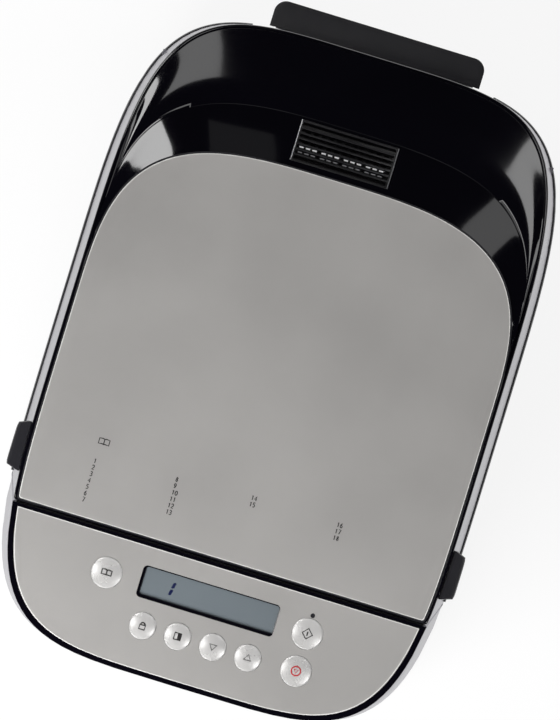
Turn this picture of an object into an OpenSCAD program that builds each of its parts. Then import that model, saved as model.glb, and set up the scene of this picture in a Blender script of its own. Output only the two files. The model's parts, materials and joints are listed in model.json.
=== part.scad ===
// Bread machine with a hinged lid, a lift-out pan and a belt-driven kneader.
// +X is to the user's right, +Y to the rear and +Z up.
// The origin is on the table, below the centre of the whole machine.

/* [Casing] */
// Height from the table to the crown of the keys
total_h = 347; // [343:1:356]
// Depth of the casing from the front rim to the rear rim
casing_d = 370; // [368:0.5:376]
// Width of the casing at the joint between lid and body
casing_w = 256.2; // [254.6:0.2:259]
// Width of the casing at the top rim
rim_w = 247.2; // [246.4:0.2:249]
// Width of the casing at the plinth
plinth_w = 251; // [249:0.5:254]
// Exponent of the plan outline, higher is squarer
squareness = 4.65; // [4.5:0.05:5]
// Height of the lid above its joint with the body
lid_h = 55; // [53:0.5:58]
// Wall of the outer shells
shell_t = 2; // [1.6:0.1:2.4]
// Width of the open joint between lid and body
joint_gap = 0.8; // [0.7:0.1:1.2]
// Place of the foot of the slanted joint at each side
seam_low_y = -106; // [-108:0.5:-105]
// Place of the head of the slanted joint at each side
seam_high_y = -119.4; // [-121:0.2:-118.6]

/* [Plinth and feet] */
// Height of the rubber feet
foot_h = 5; // [4:0.5:7]
// Radius of the rubber feet
foot_r = 10; // [8:0.5:12]
// Radius of the peg that holds each foot
foot_peg_r = 4; // [3:0.5:5]
// Distance of the feet from the middle plane
foot_x = 92; // [84:1:94]
// Place of the front feet
foot_front_y = -150; // [-154:1:-140]
// Place of the rear feet
foot_rear_y = 134; // [128:1:136]
// Thickness of the base floor
floor_t = 3; // [2.5:0.1:4]
// Height of the visible plinth above the floor's underside
plinth_h = 21; // [20:0.5:24]
// Wall of the plinth
plinth_t = 2.5; // [2:0.1:3]
// Height of the lip that centres the wrap on the plinth
lip_h = 8; // [5:0.5:10]
// Width of the cooling slots
slot_w = 3; // [2:0.2:3.6]
// Length of the cooling slots in the base
slot_l = 44; // [30:1:50]
// Distance between cooling slots
slot_pitch = 8; // [7:0.5:9]
// Number of cooling slots in each row
slot_count = 7; // [5:1:7]
// Height of the cooling slots in the rear wall
rear_slot_h = 38; // [30:1:50]
// Height of the foot of the cooling slots in the rear wall
rear_slot_z = 66; // [60:1:80]

/* [Control panel] */
// Thickness of the steel panel and of the lid plate
plate_t = 1; // [0.8:0.1:1.2]
// Width of the black rim around the steel plates
rim_band = 2.9; // [2.7:0.1:3.4]
// Rear edge of the steel panel
panel_rear_y = -122; // [-123:0.2:-121.8]
// How far the keys stand above the panel
key_proud = 1; // [0.8:0.1:1.4]
// Diameter of the menu, start and stop keys
big_key_d = 17.3; // [16:0.1:17.6]
// Diameter of the four small keys
small_key_d = 15; // [14:0.1:16]
// Play between a key and its hole
key_gap = 0.35; // [0.3:0.05:0.45]
// Travel of a key
key_travel = 0.8; // [0.5:0.1:0.9]
// Place of the start and stop keys from the middle plane
start_x = 58.3; // [57:0.1:60]
// Place of the menu key from the middle plane
menu_x = -59; // [-61:0.1:-58]
// Place of the menu and start keys from front to rear
upper_key_y = -143; // [-144:0.1:-142.6]
// Place of the stop key from front to rear
stop_y = -164.8; // [-166:0.1:-164.4]
// Place of the row of small keys from front to rear
small_key_y = -165.6; // [-167:0.1:-165]
// Distance between small keys
small_key_pitch = 20.5; // [19.6:0.1:20.8]
// Width of the display window
window_w = 80; // [76:0.5:82]
// Depth of the display window
window_d = 18.4; // [17:0.1:19]
// Corner radius of the display window
window_r = 2.6; // [2:0.1:3]
// Place of the display window from front to rear
window_y = -141.6; // [-142:0.1:-141]
// How far the display window lies below the panel
window_sink = 1.3; // [1.2:0.1:1.4]
// Radius of the start light
light_r = 1.2; // [1:0.1:1.4]
// Place of the start light from front to rear
light_y = -132.4; // [-132.6:0.1:-131.6]
// Thickness of the circuit boards
board_t = 1.6; // [1.2:0.1:2]
// Height of the key switches
switch_h = 3.5; // [3:0.1:4.3]

/* [Lid] */
// Front edge of the steel lid plate
lid_plate_front_y = -117.2; // [-117.4:0.1:-116.6]
// Rear edge of the steel lid plate at the middle
lid_plate_rear_y = 103.7; // [102:0.1:105]
// Exponent of the arched rear edge of the lid plate
arch_power = 3.4; // [3.2:0.1:3.6]
// Line where the arched rear edge starts
arch_y = 0; // [-4:1:4]
// Rear edge of the raised crown at the middle
crease_rear_y = 132.8; // [132:0.1:134]
// Line where the raised crown leaves the plate
crease_y = 30; // [26:1:34]
// Fall of the crown at its rear edge
crease_drop = 9; // [8:0.5:10]
// Fall of the rim at the rear
rim_drop = 17; // [16:0.5:19]
// Height of the black rim's side
rim_side = 2; // [1.6:0.1:2.4]
// Width of the steam vent
vent_w = 57; // [52:0.5:58]
// Length of the steam vent along the slope
vent_l = 25; // [22:0.1:25.2]
// Number of bars across the steam vent
vent_bars = 6; // [5:1:7]
// Thickness of the lid liner
liner_t = 0.8; // [0.6:0.1:1]
// Height of the liner's dome
dome_h = 24; // [23.5:0.5:26]
// Length of the lid grips
grip_l = 28.4; // [26:0.2:30]
// Front end of the lid grips
grip_front_y = -103; // [-103.4:0.1:-101]
// How far each lid grip stands out beyond the wider of the joint and the rim
grip_proud = 2.9; // [1.8:0.1:3.8]
// Height of the lid grips
grip_h = 17; // [14:0.5:20]

/* [Hinge] */
// How far the hinge cover stands out behind the casing
hinge_cover_d = 16; // [15.4:0.2:17]
// Width of the hinge cover
hinge_cover_w = 123; // [120:0.5:126]
// Wall of the hinge cover
hinge_cover_t = 2.5; // [2:0.1:2.7]
// Corner radius of the hinge cover
hinge_cover_r = 7; // [5:0.5:8]
// Radius of the hinge knuckles
knuckle_r = 5.5; // [5:0.1:5.6]
// Radius of the hinge pin
hinge_pin_r = 2.5; // [2:0.1:3]
// Half length of the knuckle on the lid
knuckle_half = 29; // [26:0.5:32]
// Depth of the hinge axis below the joint
hinge_sink = 4; // [3.8:0.1:4.4]
// Thickness of the hinge strap
strap_t = 1.8; // [1.4:0.1:2.2]
// Length of the hinge strap in the lid
strap_l = 34; // [28:1:38]

/* [Oven] */
// Width of the oven chamber inside
chamber_w = 198; // [196:0.5:199]
// Depth of the oven chamber inside
chamber_d = 182; // [180:0.5:183]
// Corner radius of the oven chamber
chamber_r = 34; // [30:1:36]
// Wall of the oven chamber
chamber_t = 1; // [0.8:0.1:1.2]
// Height of the oven chamber's underside
chamber_z = 70; // [68:0.5:72]
// Width of the flange around the chamber's mouth
flange_w = 7; // [6:0.5:8]
// Thickness of the top deck
deck_t = 2.9; // [2.4:0.1:3.2]
// Air space between chamber and heat shield
shield_gap = 5; // [4:0.5:6]
// Radius of the heating element's tube
heater_r = 3.3; // [3:0.1:3.6]
// Width of the heating element's loop
heater_w = 172; // [168:1:176]
// Depth of the heating element's loop
heater_d = 156; // [154:1:160]
// Corner radius of the heating element's loop
heater_corner_r = 38; // [34:1:40]
// Height of the heating element above the chamber floor
heater_lift = 23; // [21:0.5:26]
// Distance of the heating element's legs from the middle
heater_leg_x = 14; // [12:0.5:16]

/* [Pan] */
// Width of the pan at its mouth
pan_w = 146; // [142:0.5:148]
// Depth of the pan at its mouth
pan_d = 132; // [128:0.5:134]
// How much narrower the pan is at its floor
pan_taper = 12; // [8:0.5:16]
// Corner radius of the pan
pan_r = 22; // [18:0.5:26]
// Height of the pan
pan_h = 129; // [124:0.5:131]
// Wall of the pan
pan_t = 1.6; // [1.2:0.1:2]
// Width of the pan's rolled rim
pan_rim = 3; // [2:0.1:3.4]
// Radius of the pan's foot
pan_foot_r = 42.7; // [40:0.1:44]
// Height of the pan's foot
pan_foot_h = 24.7; // [24:0.1:26]
// Wall of the pan's foot and of its socket
socket_t = 3.5; // [3:0.1:4]
// Play between the pan's foot and its socket
socket_gap = 0.4; // [0.3:0.05:0.5]
// Height of the socket
socket_h = 13; // [10:0.5:15]
// Radius of the pan's handle wire
bail_r = 2.2; // [1.8:0.1:2.4]
// Reach of the pan's handle from its pivot
bail_reach = 74; // [73:0.5:76]
// Drop of the handle's pivot below the pan's mouth
bail_drop = 11; // [10:0.5:12]
// Distance of the handle's arms from the pan's mouth
bail_gap = 7; // [6.6:0.1:8]
// Radius of the bends in the handle
bail_bend_r = 14; // [12:0.5:16]

/* [Drive] */
// Radius of the kneading shaft in the pan
pan_shaft_r = 4; // [3.5:0.1:4.5]
// Height of the kneading shaft inside the pan
pan_shaft_h = 29; // [26:0.5:32]
// Radius of the drive shaft
drive_shaft_r = 5; // [4.5:0.1:5.5]
// Play of a shaft in its bearing
run_gap = 0.05; // [0.03:0.01:0.08]
// Radius of the large pulley
drive_pulley_r = 38; // [34:0.5:40]
// Radius of the motor pulley
motor_pulley_r = 7.5; // [7:0.1:9]
// Width of the belt
belt_w = 10; // [8:0.5:11]
// Thickness of the belt
belt_t = 1.8; // [1.4:0.1:2.2]
// Height of the belt's lower edge
belt_z = 29; // [28:0.5:31]
// Distance of the motor from the pan's axis
motor_y = 135; // [134:0.5:137]
// Radius of the motor
motor_r = 28; // [25:0.5:28.4]
// Height of the motor
motor_h = 62; // [50:1:70]
// Radius of the motor shaft
motor_shaft_r = 3; // [2.5:0.1:3.5]
// Radius of the bearing bush
bush_r = 9; // [8:0.5:10]
// Length of the bearing bush
bush_l = 24; // [20:0.5:25]
// Length of the kneading blade from its axis
blade_l = 47; // [42:0.5:50]
// Height of the kneading blade's hub
blade_h = 31; // [30:0.5:34]
// Thickness of the kneading blade
blade_t = 5; // [4:0.5:6]
// Half length of the coupling bar
coupling_l = 12; // [11:0.5:13]
// Width of the coupling bar
coupling_w = 6; // [5:0.2:6.4]

/* [Cord inlet] */
// Radius of the cord's hole
inlet_bore_r = 3.8; // [3.4:0.1:4.2]
// Radius of the inlet's body
inlet_r = 6.6; // [6:0.1:7]
// Place of the inlet from the middle plane
inlet_x = -60; // [-64:1:-54]

/* [Hidden] */
$fn = 64;

// Play between a fixed piece and its seat
seat_gap = 0.3;
// Small overlap that makes a cut pass a face
cut = 1;

// The casing's front, rear and middle lines
front_y = -(casing_d + hinge_cover_d) / 2;
rear_y = front_y + casing_d;
mid_y = front_y + casing_d / 2;
half_d = casing_d / 2;

// Levels, from the table upwards
joint_z = total_h - lid_h;
floor_z = foot_h;
plinth_z = floor_z + plinth_h;
wrap_z = plinth_z + 0.2;
deck_sink = 2;
deck_z = joint_z - deck_sink;
plate_z = total_h - key_proud;
rim_z = plate_z - 0.2;
bed_z = plate_z - plate_t;
bed_t = 2.4;

// Plan outline of the casing as columns of [share of half width, share of half depth]
corner_step = 4;
corner_start = 24;
function power_cos(t, n) = pow(abs(cos(t)), 2 / n);
function power_sin(t, n) = pow(abs(sin(t)), 2 / n);
function unit_half(y) = pow(max(0, 1 - pow(abs(y - mid_y) / half_d, squareness)), 1 / squareness);
function station(y) = [unit_half(y), (y - mid_y) / half_d];
stations = [seam_high_y - joint_gap / 2, seam_low_y - joint_gap / 2, -70, -30, 10, 50, 85];
half_columns = concat(
    [for (t = [90:-corner_step:corner_start]) [power_cos(t, squareness), -power_sin(t, squareness)]],
    [for (y = stations) station(y)],
    [for (t = [corner_start + 2:corner_step:90]) [power_cos(t, squareness), power_sin(t, squareness)]],
    [[0, 1]]);
function both_sides(half) = concat(half, [for (i = [len(half) - 2:-1:1]) [-half[i].x, half[i].y]]);
columns = both_sides(half_columns);

// A point of the casing's outline, half_w wide and moved inwards by inset
function casing_point(c, half_w, inset) = [c.x * (half_w - inset), mid_y + c.y * (half_d - inset)];
function casing_outline(half_w, inset) = [for (c = columns) casing_point(c, half_w, inset)];

// Half width of the casing at a height
function side_x(z) = z >= joint_z
    ? casing_w / 2 - (casing_w - rim_w) / 2 * (z - joint_z) / (rim_z - joint_z)
    : casing_w / 2 - (casing_w - plinth_w) / 2 * pow((joint_z - z) / (joint_z - wrap_z), 2);

// Place of the slanted joint at a height, and its height at a place
function seam_y(z) = seam_low_y + (seam_high_y - seam_low_y) * (z - joint_z) / (rim_z - joint_z);
function seam_share(y) = min(1, max(0, (seam_low_y - y) / (seam_low_y - seam_high_y)));

// A solid skin between two grids of points with equal rows and columns.
// Columns run anticlockwise seen from above, rows run upwards or inwards.
module skin(outer, inner, closed) {
    rows = len(outer);
    cols = len(outer[0]);
    last = closed ? cols - 1 : cols - 2;
    function o(i, j) = i * cols + j % cols;
    function n(i, j) = rows * cols + i * cols + j % cols;
    walls = [for (i = [0:rows - 2], j = [0:last]) each [
        [o(i, j), o(i + 1, j), o(i + 1, j + 1)], [o(i, j), o(i + 1, j + 1), o(i, j + 1)],
        [n(i, j), n(i, j + 1), n(i + 1, j + 1)], [n(i, j), n(i + 1, j + 1), n(i + 1, j)]]];
    edges = [for (j = [0:last]) each [
        [o(0, j), o(0, j + 1), n(0, j + 1)], [o(0, j), n(0, j + 1), n(0, j)],
        [o(rows - 1, j), n(rows - 1, j), n(rows - 1, j + 1)],
        [o(rows - 1, j), n(rows - 1, j + 1), o(rows - 1, j + 1)]]];
    ends = closed ? [] : [for (i = [0:rows - 2]) each [
        [o(i, 0), n(i, 0), n(i + 1, 0)], [o(i, 0), n(i + 1, 0), o(i + 1, 0)],
        [o(i, cols - 1), o(i + 1, cols - 1), n(i + 1, cols - 1)],
        [o(i, cols - 1), n(i + 1, cols - 1), n(i, cols - 1)]]];
    points = concat([for (row = outer) each row], [for (row = inner) each row]);
    polyhedron(points, concat(walls, edges, ends), convexity = 8);
}

// A ring or plate between two heights
module slab(z0, z1) {
    translate([0, 0, z0]) linear_extrude(z1 - z0) children();
}

// A rectangle with round corners, centred
module round_rect(w, d, r) {
    square([w - 2 * r, d], center = true);
    square([w, d - 2 * r], center = true);
    for (x = [-1, 1], y = [-1, 1]) translate([x * (w / 2 - r), y * (d / 2 - r)]) circle(r);
}

// A drilled or plain post
module post(x, y, z0, z1, r) {
    translate([x, y, z0]) cylinder(h = z1 - z0, r = r);
}

// Everything in front of, or behind, a line across the machine
module front_of(y) {
    translate([-casing_w, y - 2 * casing_d]) square([2 * casing_w, 2 * casing_d]);
}
module behind(y) {
    translate([-casing_w, y]) square([2 * casing_w, 2 * casing_d]);
}

// ---- Plinth, feet and outer wrap ----

feet_places = [for (x = [-1, 1]) each [[x * foot_x, foot_front_y], [x * foot_x, foot_rear_y]]];
leg_x = 60;
leg_y = 38;
leg_r = 6;
leg_places = [for (x = [-1, 1], y = [-1, 1]) [x * leg_x, y * leg_y]];
screw_r = 1.8;
screw_gap = 0.2;
screw_head_r = 3.5;
screw_head_h = 1.5;
motor_post_x = 31;
motor_post_y = 22;
motor_post_r = 4.5;
motor_plate_t = 3;
motor_plate_z = belt_z + belt_w + 4;
motor_posts = [for (x = [-1, 1], y = [-1, 1]) [x * motor_post_x, motor_y + y * motor_post_y]];
board_z = 30;
power_board_w = 46;
power_board_d = 48;
power_board_x = -69;
power_board_y = motor_y - 1;
board_post_r = 3;
// Blocks on the power board as [x, y, width, depth, height], and cans as [x, y, radius, height]
power_blocks = [[-19, -8, 20, 24, 20], [6, -18, 14, 18, 16]];
power_cans = [[13, 14, 6, 22], [-12, -16, 5, 12]];
board_posts = [for (x = [-1, 1], y = [-1, 1])
    [power_board_x + x * (power_board_w / 2 - 4), power_board_y + y * (power_board_d / 2 - 4)]];
inlet_flange_r = inlet_r + 2.2;
inlet_z = floor_z + floor_t + inlet_flange_r;
function plinth_y(x) = mid_y + half_d * pow(1 - pow(abs(x) / (plinth_w / 2), squareness), 1 / squareness);
inlet_seat_y = plinth_y(abs(inlet_x) - inlet_flange_r) + seat_gap;
inlet_inner_y = plinth_y(abs(inlet_x) + inlet_flange_r) - shell_t - seat_gap - plinth_t - seat_gap;

module base_slots() {
    for (side = [-1, 1], i = [0:slot_count - 1])
        translate([side * 62, -112 + (i - (slot_count - 1) / 2) * slot_pitch])
            square([slot_l, slot_w], center = true);
}

module base_tray() {
    color("#1d1d20") difference() {
        union() {
            difference() {
                slab(floor_z, plinth_z) polygon(casing_outline(plinth_w / 2, 0));
                slab(floor_z + floor_t, plinth_z + cut) polygon(casing_outline(plinth_w / 2, plinth_t));
            }
            difference() {
                slab(floor_z + floor_t - 1, plinth_z + lip_h)
                    polygon(casing_outline(plinth_w / 2, shell_t + seat_gap));
                slab(floor_z + floor_t - 1 - cut, plinth_z + lip_h + cut)
                    polygon(casing_outline(plinth_w / 2, shell_t + seat_gap + plinth_t));
            }
            for (p = feet_places) post(p.x, p.y, floor_z + 1, floor_z + floor_t + 2, foot_peg_r + 3);
            for (p = motor_posts) post(p.x, p.y, floor_z + 1, motor_plate_z, motor_post_r);
            for (p = board_posts) post(p.x, p.y, floor_z + 1, board_z, board_post_r);
        }
        for (p = feet_places)
            post(p.x, p.y, floor_z - cut, floor_z + floor_t + 2 + cut, foot_peg_r + run_gap);
        for (p = leg_places) {
            post(p.x, p.y, floor_z - cut, floor_z + floor_t + cut, screw_r + screw_gap);
            post(p.x, p.y, floor_z - cut, floor_z + screw_head_h + seat_gap, screw_head_r + seat_gap);
        }
        slab(floor_z - cut, floor_z + floor_t + cut) base_slots();
        translate([inlet_x, inlet_seat_y + cut, inlet_z]) rotate([90, 0, 0])
            cylinder(h = inlet_seat_y - inlet_inner_y + 2 * cut, r = inlet_r + seat_gap);
    }
}

module rubber_feet() {
    color("#2b2b2b") for (p = feet_places) translate([p.x, p.y, 0]) {
        cylinder(h = 1, r1 = foot_r - 1, r2 = foot_r);
        translate([0, 0, 1]) cylinder(h = foot_h - 1, r = foot_r);
        cylinder(h = foot_h + floor_t + 1, r = foot_peg_r);
    }
}

// Height of the wrap's upper edge at a column, and the rows of the wrap
wall_share = (joint_z - wrap_z) / (rim_z - rim_side - seat_gap - wrap_z);
wrap_shares = [0, 0.25, 0.5, 0.7, wall_share, (1 + wall_share) / 2, 1];
function wrap_top(c) = let (share = seam_share(mid_y + c.y * half_d + joint_gap / 2))
    joint_z - joint_gap / 2 + share * (rim_z - rim_side - seat_gap - joint_z + joint_gap / 2);
function wrap_grid(inset) = [for (s = wrap_shares) [for (c = columns)
    let (z = wrap_z + s * (wrap_top(c) - wrap_z), p = casing_point(c, side_x(z), inset)) [p.x, p.y, z]]];

// Lugs inside a side wall that take screws, drilled through
module side_lugs(places, z0, z1) {
    for (p = places) let (s = sign(p.x)) difference() {
        translate([s > 0 ? p.x - 5 : -side_x(z0) * unit_half(p.y) + shell_t / 2, p.y - 5, z0])
            cube([side_x(z0) * unit_half(p.y) - shell_t / 2 - abs(p.x) + 5, 10, z1 - z0]);
        post(p.x, p.y, z0 - cut, z1 + cut, screw_r + 0.1);
    }
}

module body_wrap() {
    color("#b9b9c0") difference() {
        union() {
            skin(wrap_grid(0), wrap_grid(shell_t), true);
            side_lugs(deck_screws_at, deck_z - deck_t - 8, deck_z - deck_t - 0.1);
        }
        for (i = [0:slot_count - 1])
            translate([(i - (slot_count - 1) / 2) * slot_pitch - slot_w / 2, rear_y - 8, rear_slot_z])
                cube([slot_w, 16, rear_slot_h]);
    }
}

// A slanted wall across the machine, from the joint line towards the front
module cross_wall(z0, z1, offset_y, thick) {
    function edges(z, y) = [-1, 1] * (side_x(max(z, joint_z)) - shell_t - 2 * seat_gap) * unit_half(y);
    function row(z, y) = [for (x = edges(z, y)) [x, y, z]];
    function grid(shift) = [for (z = [z0, z1]) row(z, seam_y(z) + offset_y + shift)];
    skin(grid(0), grid(thick), false);
}

// ---- Top deck, control housing and panel ----

wall_t = 2.2;
front_gap = 0.7;
deck_screw_x = casing_w / 2 - 16;
deck_screw_front_y = seam_low_y + 8;
deck_screw_rear_y = 88;
deck_screws_at = [for (x = [-1, 1], y = [deck_screw_front_y, deck_screw_rear_y]) [x * deck_screw_x, y]];

module top_deck() {
    color("#161618") difference() {
        union() {
            slab(deck_z - deck_t, deck_z) intersection() {
                polygon(casing_outline(casing_w / 2, shell_t + seat_gap));
                behind(seam_y(deck_z) - front_gap - wall_t);
            }
            cross_wall(deck_z - deck_t, bed_z - bed_t - 0.2, -front_gap - wall_t, wall_t);
        }
        slab(deck_z - deck_t - cut, deck_z + cut) round_rect(chamber_w, chamber_d, chamber_r);
        for (p = deck_screws_at) post(p.x, p.y, deck_z - deck_t - cut, deck_z + cut, screw_r + screw_gap);
    }
}

module deck_screws() {
    color("#8a8a8e") for (p = deck_screws_at) difference() {
        union() {
            post(p.x, p.y, deck_z, deck_z + 1, screw_head_r);
            post(p.x, p.y, deck_z - deck_t - 7, deck_z, screw_r);
        }
        translate([p.x, p.y, deck_z + 0.8]) cube([4, 0.8, 1], center = true);
    }
}

// Keys as [name, x, y, diameter]
small_x = -1.5 * small_key_pitch - 0.4;
menu_place = [menu_x, upper_key_y, big_key_d];
start_place = [start_x, upper_key_y, big_key_d];
stop_place = [start_x, stop_y, big_key_d];
function small_place(i) = [small_x + i * small_key_pitch, small_key_y, small_key_d];
key_places = concat([menu_place, start_place, stop_place], [for (i = [0:3]) small_place(i)]);
sleeve_h = 4;
sleeve_t = 1.1;
key_flange = 1;
flange_t = 1.2;
sleeve_z = bed_z - bed_t - sleeve_h;
key_flange_z = sleeve_z - 0.1;
stem_h = 7;
stem_r = 2.6;
key_foot_z = key_flange_z - flange_t - stem_h;
switch_z = key_foot_z - key_travel - 0.1;
panel_board_z = switch_z - switch_h;
panel_board_w = 144;
panel_board_front_y = -181;
panel_board_rear_y = -127;
board_hanger_r = 3;
board_hangers = [for (x = [-1, 1], y = [panel_board_front_y + 4, panel_board_rear_y - 4])
    [x * (panel_board_w / 2 - 6), y]];
// Parts below the control board as [x, y behind its front edge, width, depth, height]
board_chips = [[-20, 16, 14, 14, 2.5], [14, 21, 18, 8, 6], [-52, 11, 10, 22, 4]];

module panel_outline(inset) {
    intersection() {
        polygon(casing_outline(rim_w / 2, rim_band + inset));
        front_of(panel_rear_y - inset);
    }
}

module housing_outline(inset) {
    intersection() {
        polygon(casing_outline(rim_w / 2, inset));
        front_of(seam_high_y - front_gap);
    }
}

module window_outline(gap) {
    translate([0, window_y]) round_rect(window_w + 2 * gap, window_d + 2 * gap, window_r + gap);
}

module control_housing() {
    color("#0b0b0e") difference() {
        union() {
            slab(rim_z - rim_side, rim_z - 0.6) housing_outline(0);
            slab(rim_z - rim_side, rim_z) housing_outline(0.8);
            slab(bed_z - bed_t, rim_z - rim_side) intersection() {
                housing_outline(shell_t + seat_gap);
                front_of(seam_high_y - front_gap);
            }
            for (k = key_places) post(k.x, k.y, sleeve_z, bed_z - bed_t + 1, k.z / 2 + key_gap + sleeve_t);
            for (p = board_hangers) post(p.x, p.y, panel_board_z, bed_z - bed_t + 1, board_hanger_r);
        }
        slab(bed_z, plate_z + cut) panel_outline(-0.15);
        for (k = key_places) post(k.x, k.y, sleeve_z - cut, plate_z + cut, k.z / 2 + key_gap);
        slab(plate_z - window_sink - 1.2, plate_z + cut) window_outline(0.2);
        slab(bed_z - bed_t - cut, plate_z) window_outline(-2);
        post(start_x, light_y, bed_z - bed_t - cut, plate_z, light_r + 0.2);
        light_guide(0.2);
    }
}

// The bar that brings the start light from the board to its lens, clear of the key
guide_d = 3.6;
module light_guide(gap) {
    translate([start_x - light_r - gap, light_y - gap, panel_board_z + board_t])
        cube([2 * (light_r + gap), guide_d + 2 * gap, bed_z - bed_t + 0.6 + gap - panel_board_z - board_t]);
}

module control_panel() {
    color("#aaa7a4") difference() {
        slab(bed_z, plate_z) panel_outline(0);
        for (k = key_places) post(k.x, k.y, bed_z - cut, plate_z + cut, k.z / 2 + key_gap);
        slab(bed_z - cut, plate_z + cut) window_outline(0);
        post(start_x, light_y, bed_z - cut, plate_z + cut, light_r + 0.1);
    }
}

module display_window() {
    color("#7f8a94") slab(plate_z - window_sink - 1.2, plate_z - window_sink) window_outline(0);
}

module display_module() {
    module_z = bed_z - bed_t - 0.2;
    color("#3c4a48") translate([0, window_y, 0]) {
        slab(module_z - 8, module_z) square([window_w + 4, window_d + 4], center = true);
        slab(panel_board_z + board_t, module_z - 8 + 1) for (y = [-1, 1])
            translate([0, y * (window_d / 2 - 1)]) square([window_w - 20, 2], center = true);
    }
}

module start_light() {
    color("#101012") {
        post(start_x, light_y, bed_z - bed_t, plate_z + 0.1, light_r);
        light_guide(0);
        post(start_x, light_y + guide_d / 2, panel_board_z + board_t,
            panel_board_z + board_t + 4, light_r + 1);
    }
}

module control_board() {
    color("#2f6b45") {
        slab(panel_board_z, panel_board_z + board_t) difference() {
            translate([-panel_board_w / 2, panel_board_front_y])
                square([panel_board_w, panel_board_rear_y - panel_board_front_y]);
            for (p = board_hangers) translate(p) circle(board_hanger_r + screw_gap);
        }
        for (c = board_chips) translate([c[0], panel_board_front_y + c[1], panel_board_z - c[4]])
            cube([c[2], c[3], c[4]]);
    }
}

module key_switches() {
    color("#26262a") for (k = key_places) {
        slab(panel_board_z + board_t, switch_z - 1) translate([k.x, k.y]) square(6, center = true);
        post(k.x, k.y, switch_z - 1.2, switch_z, 1.7);
    }
}

// A domed key on a stem, held from above by its flange
module key(place) {
    r = place.z / 2;
    edge_z = plate_z + 0.1;
    dome_r = (r * r + pow(total_h - edge_z, 2)) / (2 * (total_h - edge_z));
    dome_steps = 10;
    dome = [for (i = [0:dome_steps]) let (x = r * i / dome_steps)
        [x, total_h - dome_r + sqrt(dome_r * dome_r - x * x)]];
    color("#b4b1ae") translate([place.x, place.y, 0]) rotate_extrude($fn = 72) polygon(concat(dome, [
        [r, key_flange_z], [r + key_flange, key_flange_z], [r + key_flange, key_flange_z - flange_t],
        [r - 1.6, key_flange_z - flange_t], [r - 1.6, plate_z - 1.6], [stem_r, plate_z - 1.6],
        [stem_r, key_foot_z], [0, key_foot_z]]));
}
module menu_key() { key(menu_place); }
module start_key() { key(start_place); }
module stop_key() { key(stop_place); }
module timer_key() { key(small_place(0)); }
module crust_key() { key(small_place(1)); }
module down_key() { key(small_place(2)); }
module up_key() { key(small_place(3)); }

// ---- Oven chamber, heater and sensor ----

chamber_floor_z = chamber_z + chamber_t;
mouth_z = deck_z - deck_t;
heater_z = chamber_floor_z + heater_lift;
heater_bend_r = 8;
shield_w = chamber_w + 2 * (chamber_t + shield_gap);
shield_d = chamber_d + 2 * (chamber_t + shield_gap);
shield_t = 0.6;
sensor_r = 4.5;
sensor_z = 140;

module chamber_ring(w, d, t, r) {
    difference() {
        round_rect(w + 2 * t, d + 2 * t, r + t);
        round_rect(w, d, r);
    }
}

module heater_holes(r) {
    for (x = [-1, 1]) translate([x * heater_leg_x, chamber_d / 2 - 20, heater_z])
        rotate([-90, 0, 0]) cylinder(h = 40, r = r);
}

module sensor_hole(r) {
    translate([0, -chamber_d / 2 + 10, sensor_z]) rotate([90, 0, 0]) cylinder(h = 30, r = r);
}

module oven_chamber() {
    color("#8f9194") difference() {
        union() {
            slab(chamber_z, mouth_z) chamber_ring(chamber_w, chamber_d, chamber_t, chamber_r);
            slab(chamber_z, chamber_floor_z) round_rect(chamber_w, chamber_d, chamber_r);
            slab(mouth_z - chamber_t, mouth_z) chamber_ring(chamber_w, chamber_d, flange_w, chamber_r);
        }
        post(0, 0, chamber_z - cut, chamber_floor_z + cut, drive_shaft_r + 1);
        heater_holes(heater_r + seat_gap);
        sensor_hole(sensor_r + seat_gap);
    }
}

module heat_shield() {
    color("#a9abad") difference() {
        slab(chamber_z + 6, mouth_z - chamber_t - 0.1)
            chamber_ring(shield_w, shield_d, shield_t, chamber_r + shield_gap);
        heater_holes(heater_r + 2);
        sensor_hole(sensor_r + 2);
    }
}

// A straight run of tube between two points of one level
module tube_run(a, b, r) {
    d = b - a;
    translate([a.x, a.y, 0]) rotate([0, 0, atan2(d.y, d.x)]) rotate([0, 90, 0]) cylinder(h = norm(d), r = r);
}

// A quarter bend of tube about a centre, from a start angle
module tube_bend(centre, bend_r, start, r) {
    translate([centre.x, centre.y, 0]) rotate([0, 0, start])
        rotate_extrude(angle = 90) translate([bend_r, 0]) circle(r, $fn = 32);
}

module heating_element() {
    hx = heater_w / 2;
    hy = heater_d / 2;
    c = heater_corner_r;
    b = heater_bend_r;
    leg_end_y = chamber_d / 2 + chamber_t + shield_gap + shield_t + 4;
    color("#55565a") translate([0, 0, heater_z]) {
        tube_run([-hx + c, -hy], [hx - c, -hy], heater_r);
        for (s = [-1, 1]) {
            tube_run([s * hx, -hy + c], [s * hx, hy - c], heater_r);
            tube_run([s * (hx - c), hy], [s * (heater_leg_x + b), hy], heater_r);
            tube_run([s * heater_leg_x, hy + b], [s * heater_leg_x, leg_end_y], heater_r);
            tube_run([s * heater_leg_x, leg_end_y - 0.5], [s * heater_leg_x, leg_end_y + 5], heater_r / 2);
        }
        tube_bend([hx - c, -hy + c], c, -90, heater_r);
        tube_bend([hx - c, hy - c], c, 0, heater_r);
        tube_bend([-hx + c, hy - c], c, 90, heater_r);
        tube_bend([-hx + c, -hy + c], c, 180, heater_r);
        tube_bend([heater_leg_x + b, hy + b], b, 180, heater_r);
        tube_bend([-heater_leg_x - b, hy + b], b, -90, heater_r);
    }
}

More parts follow.
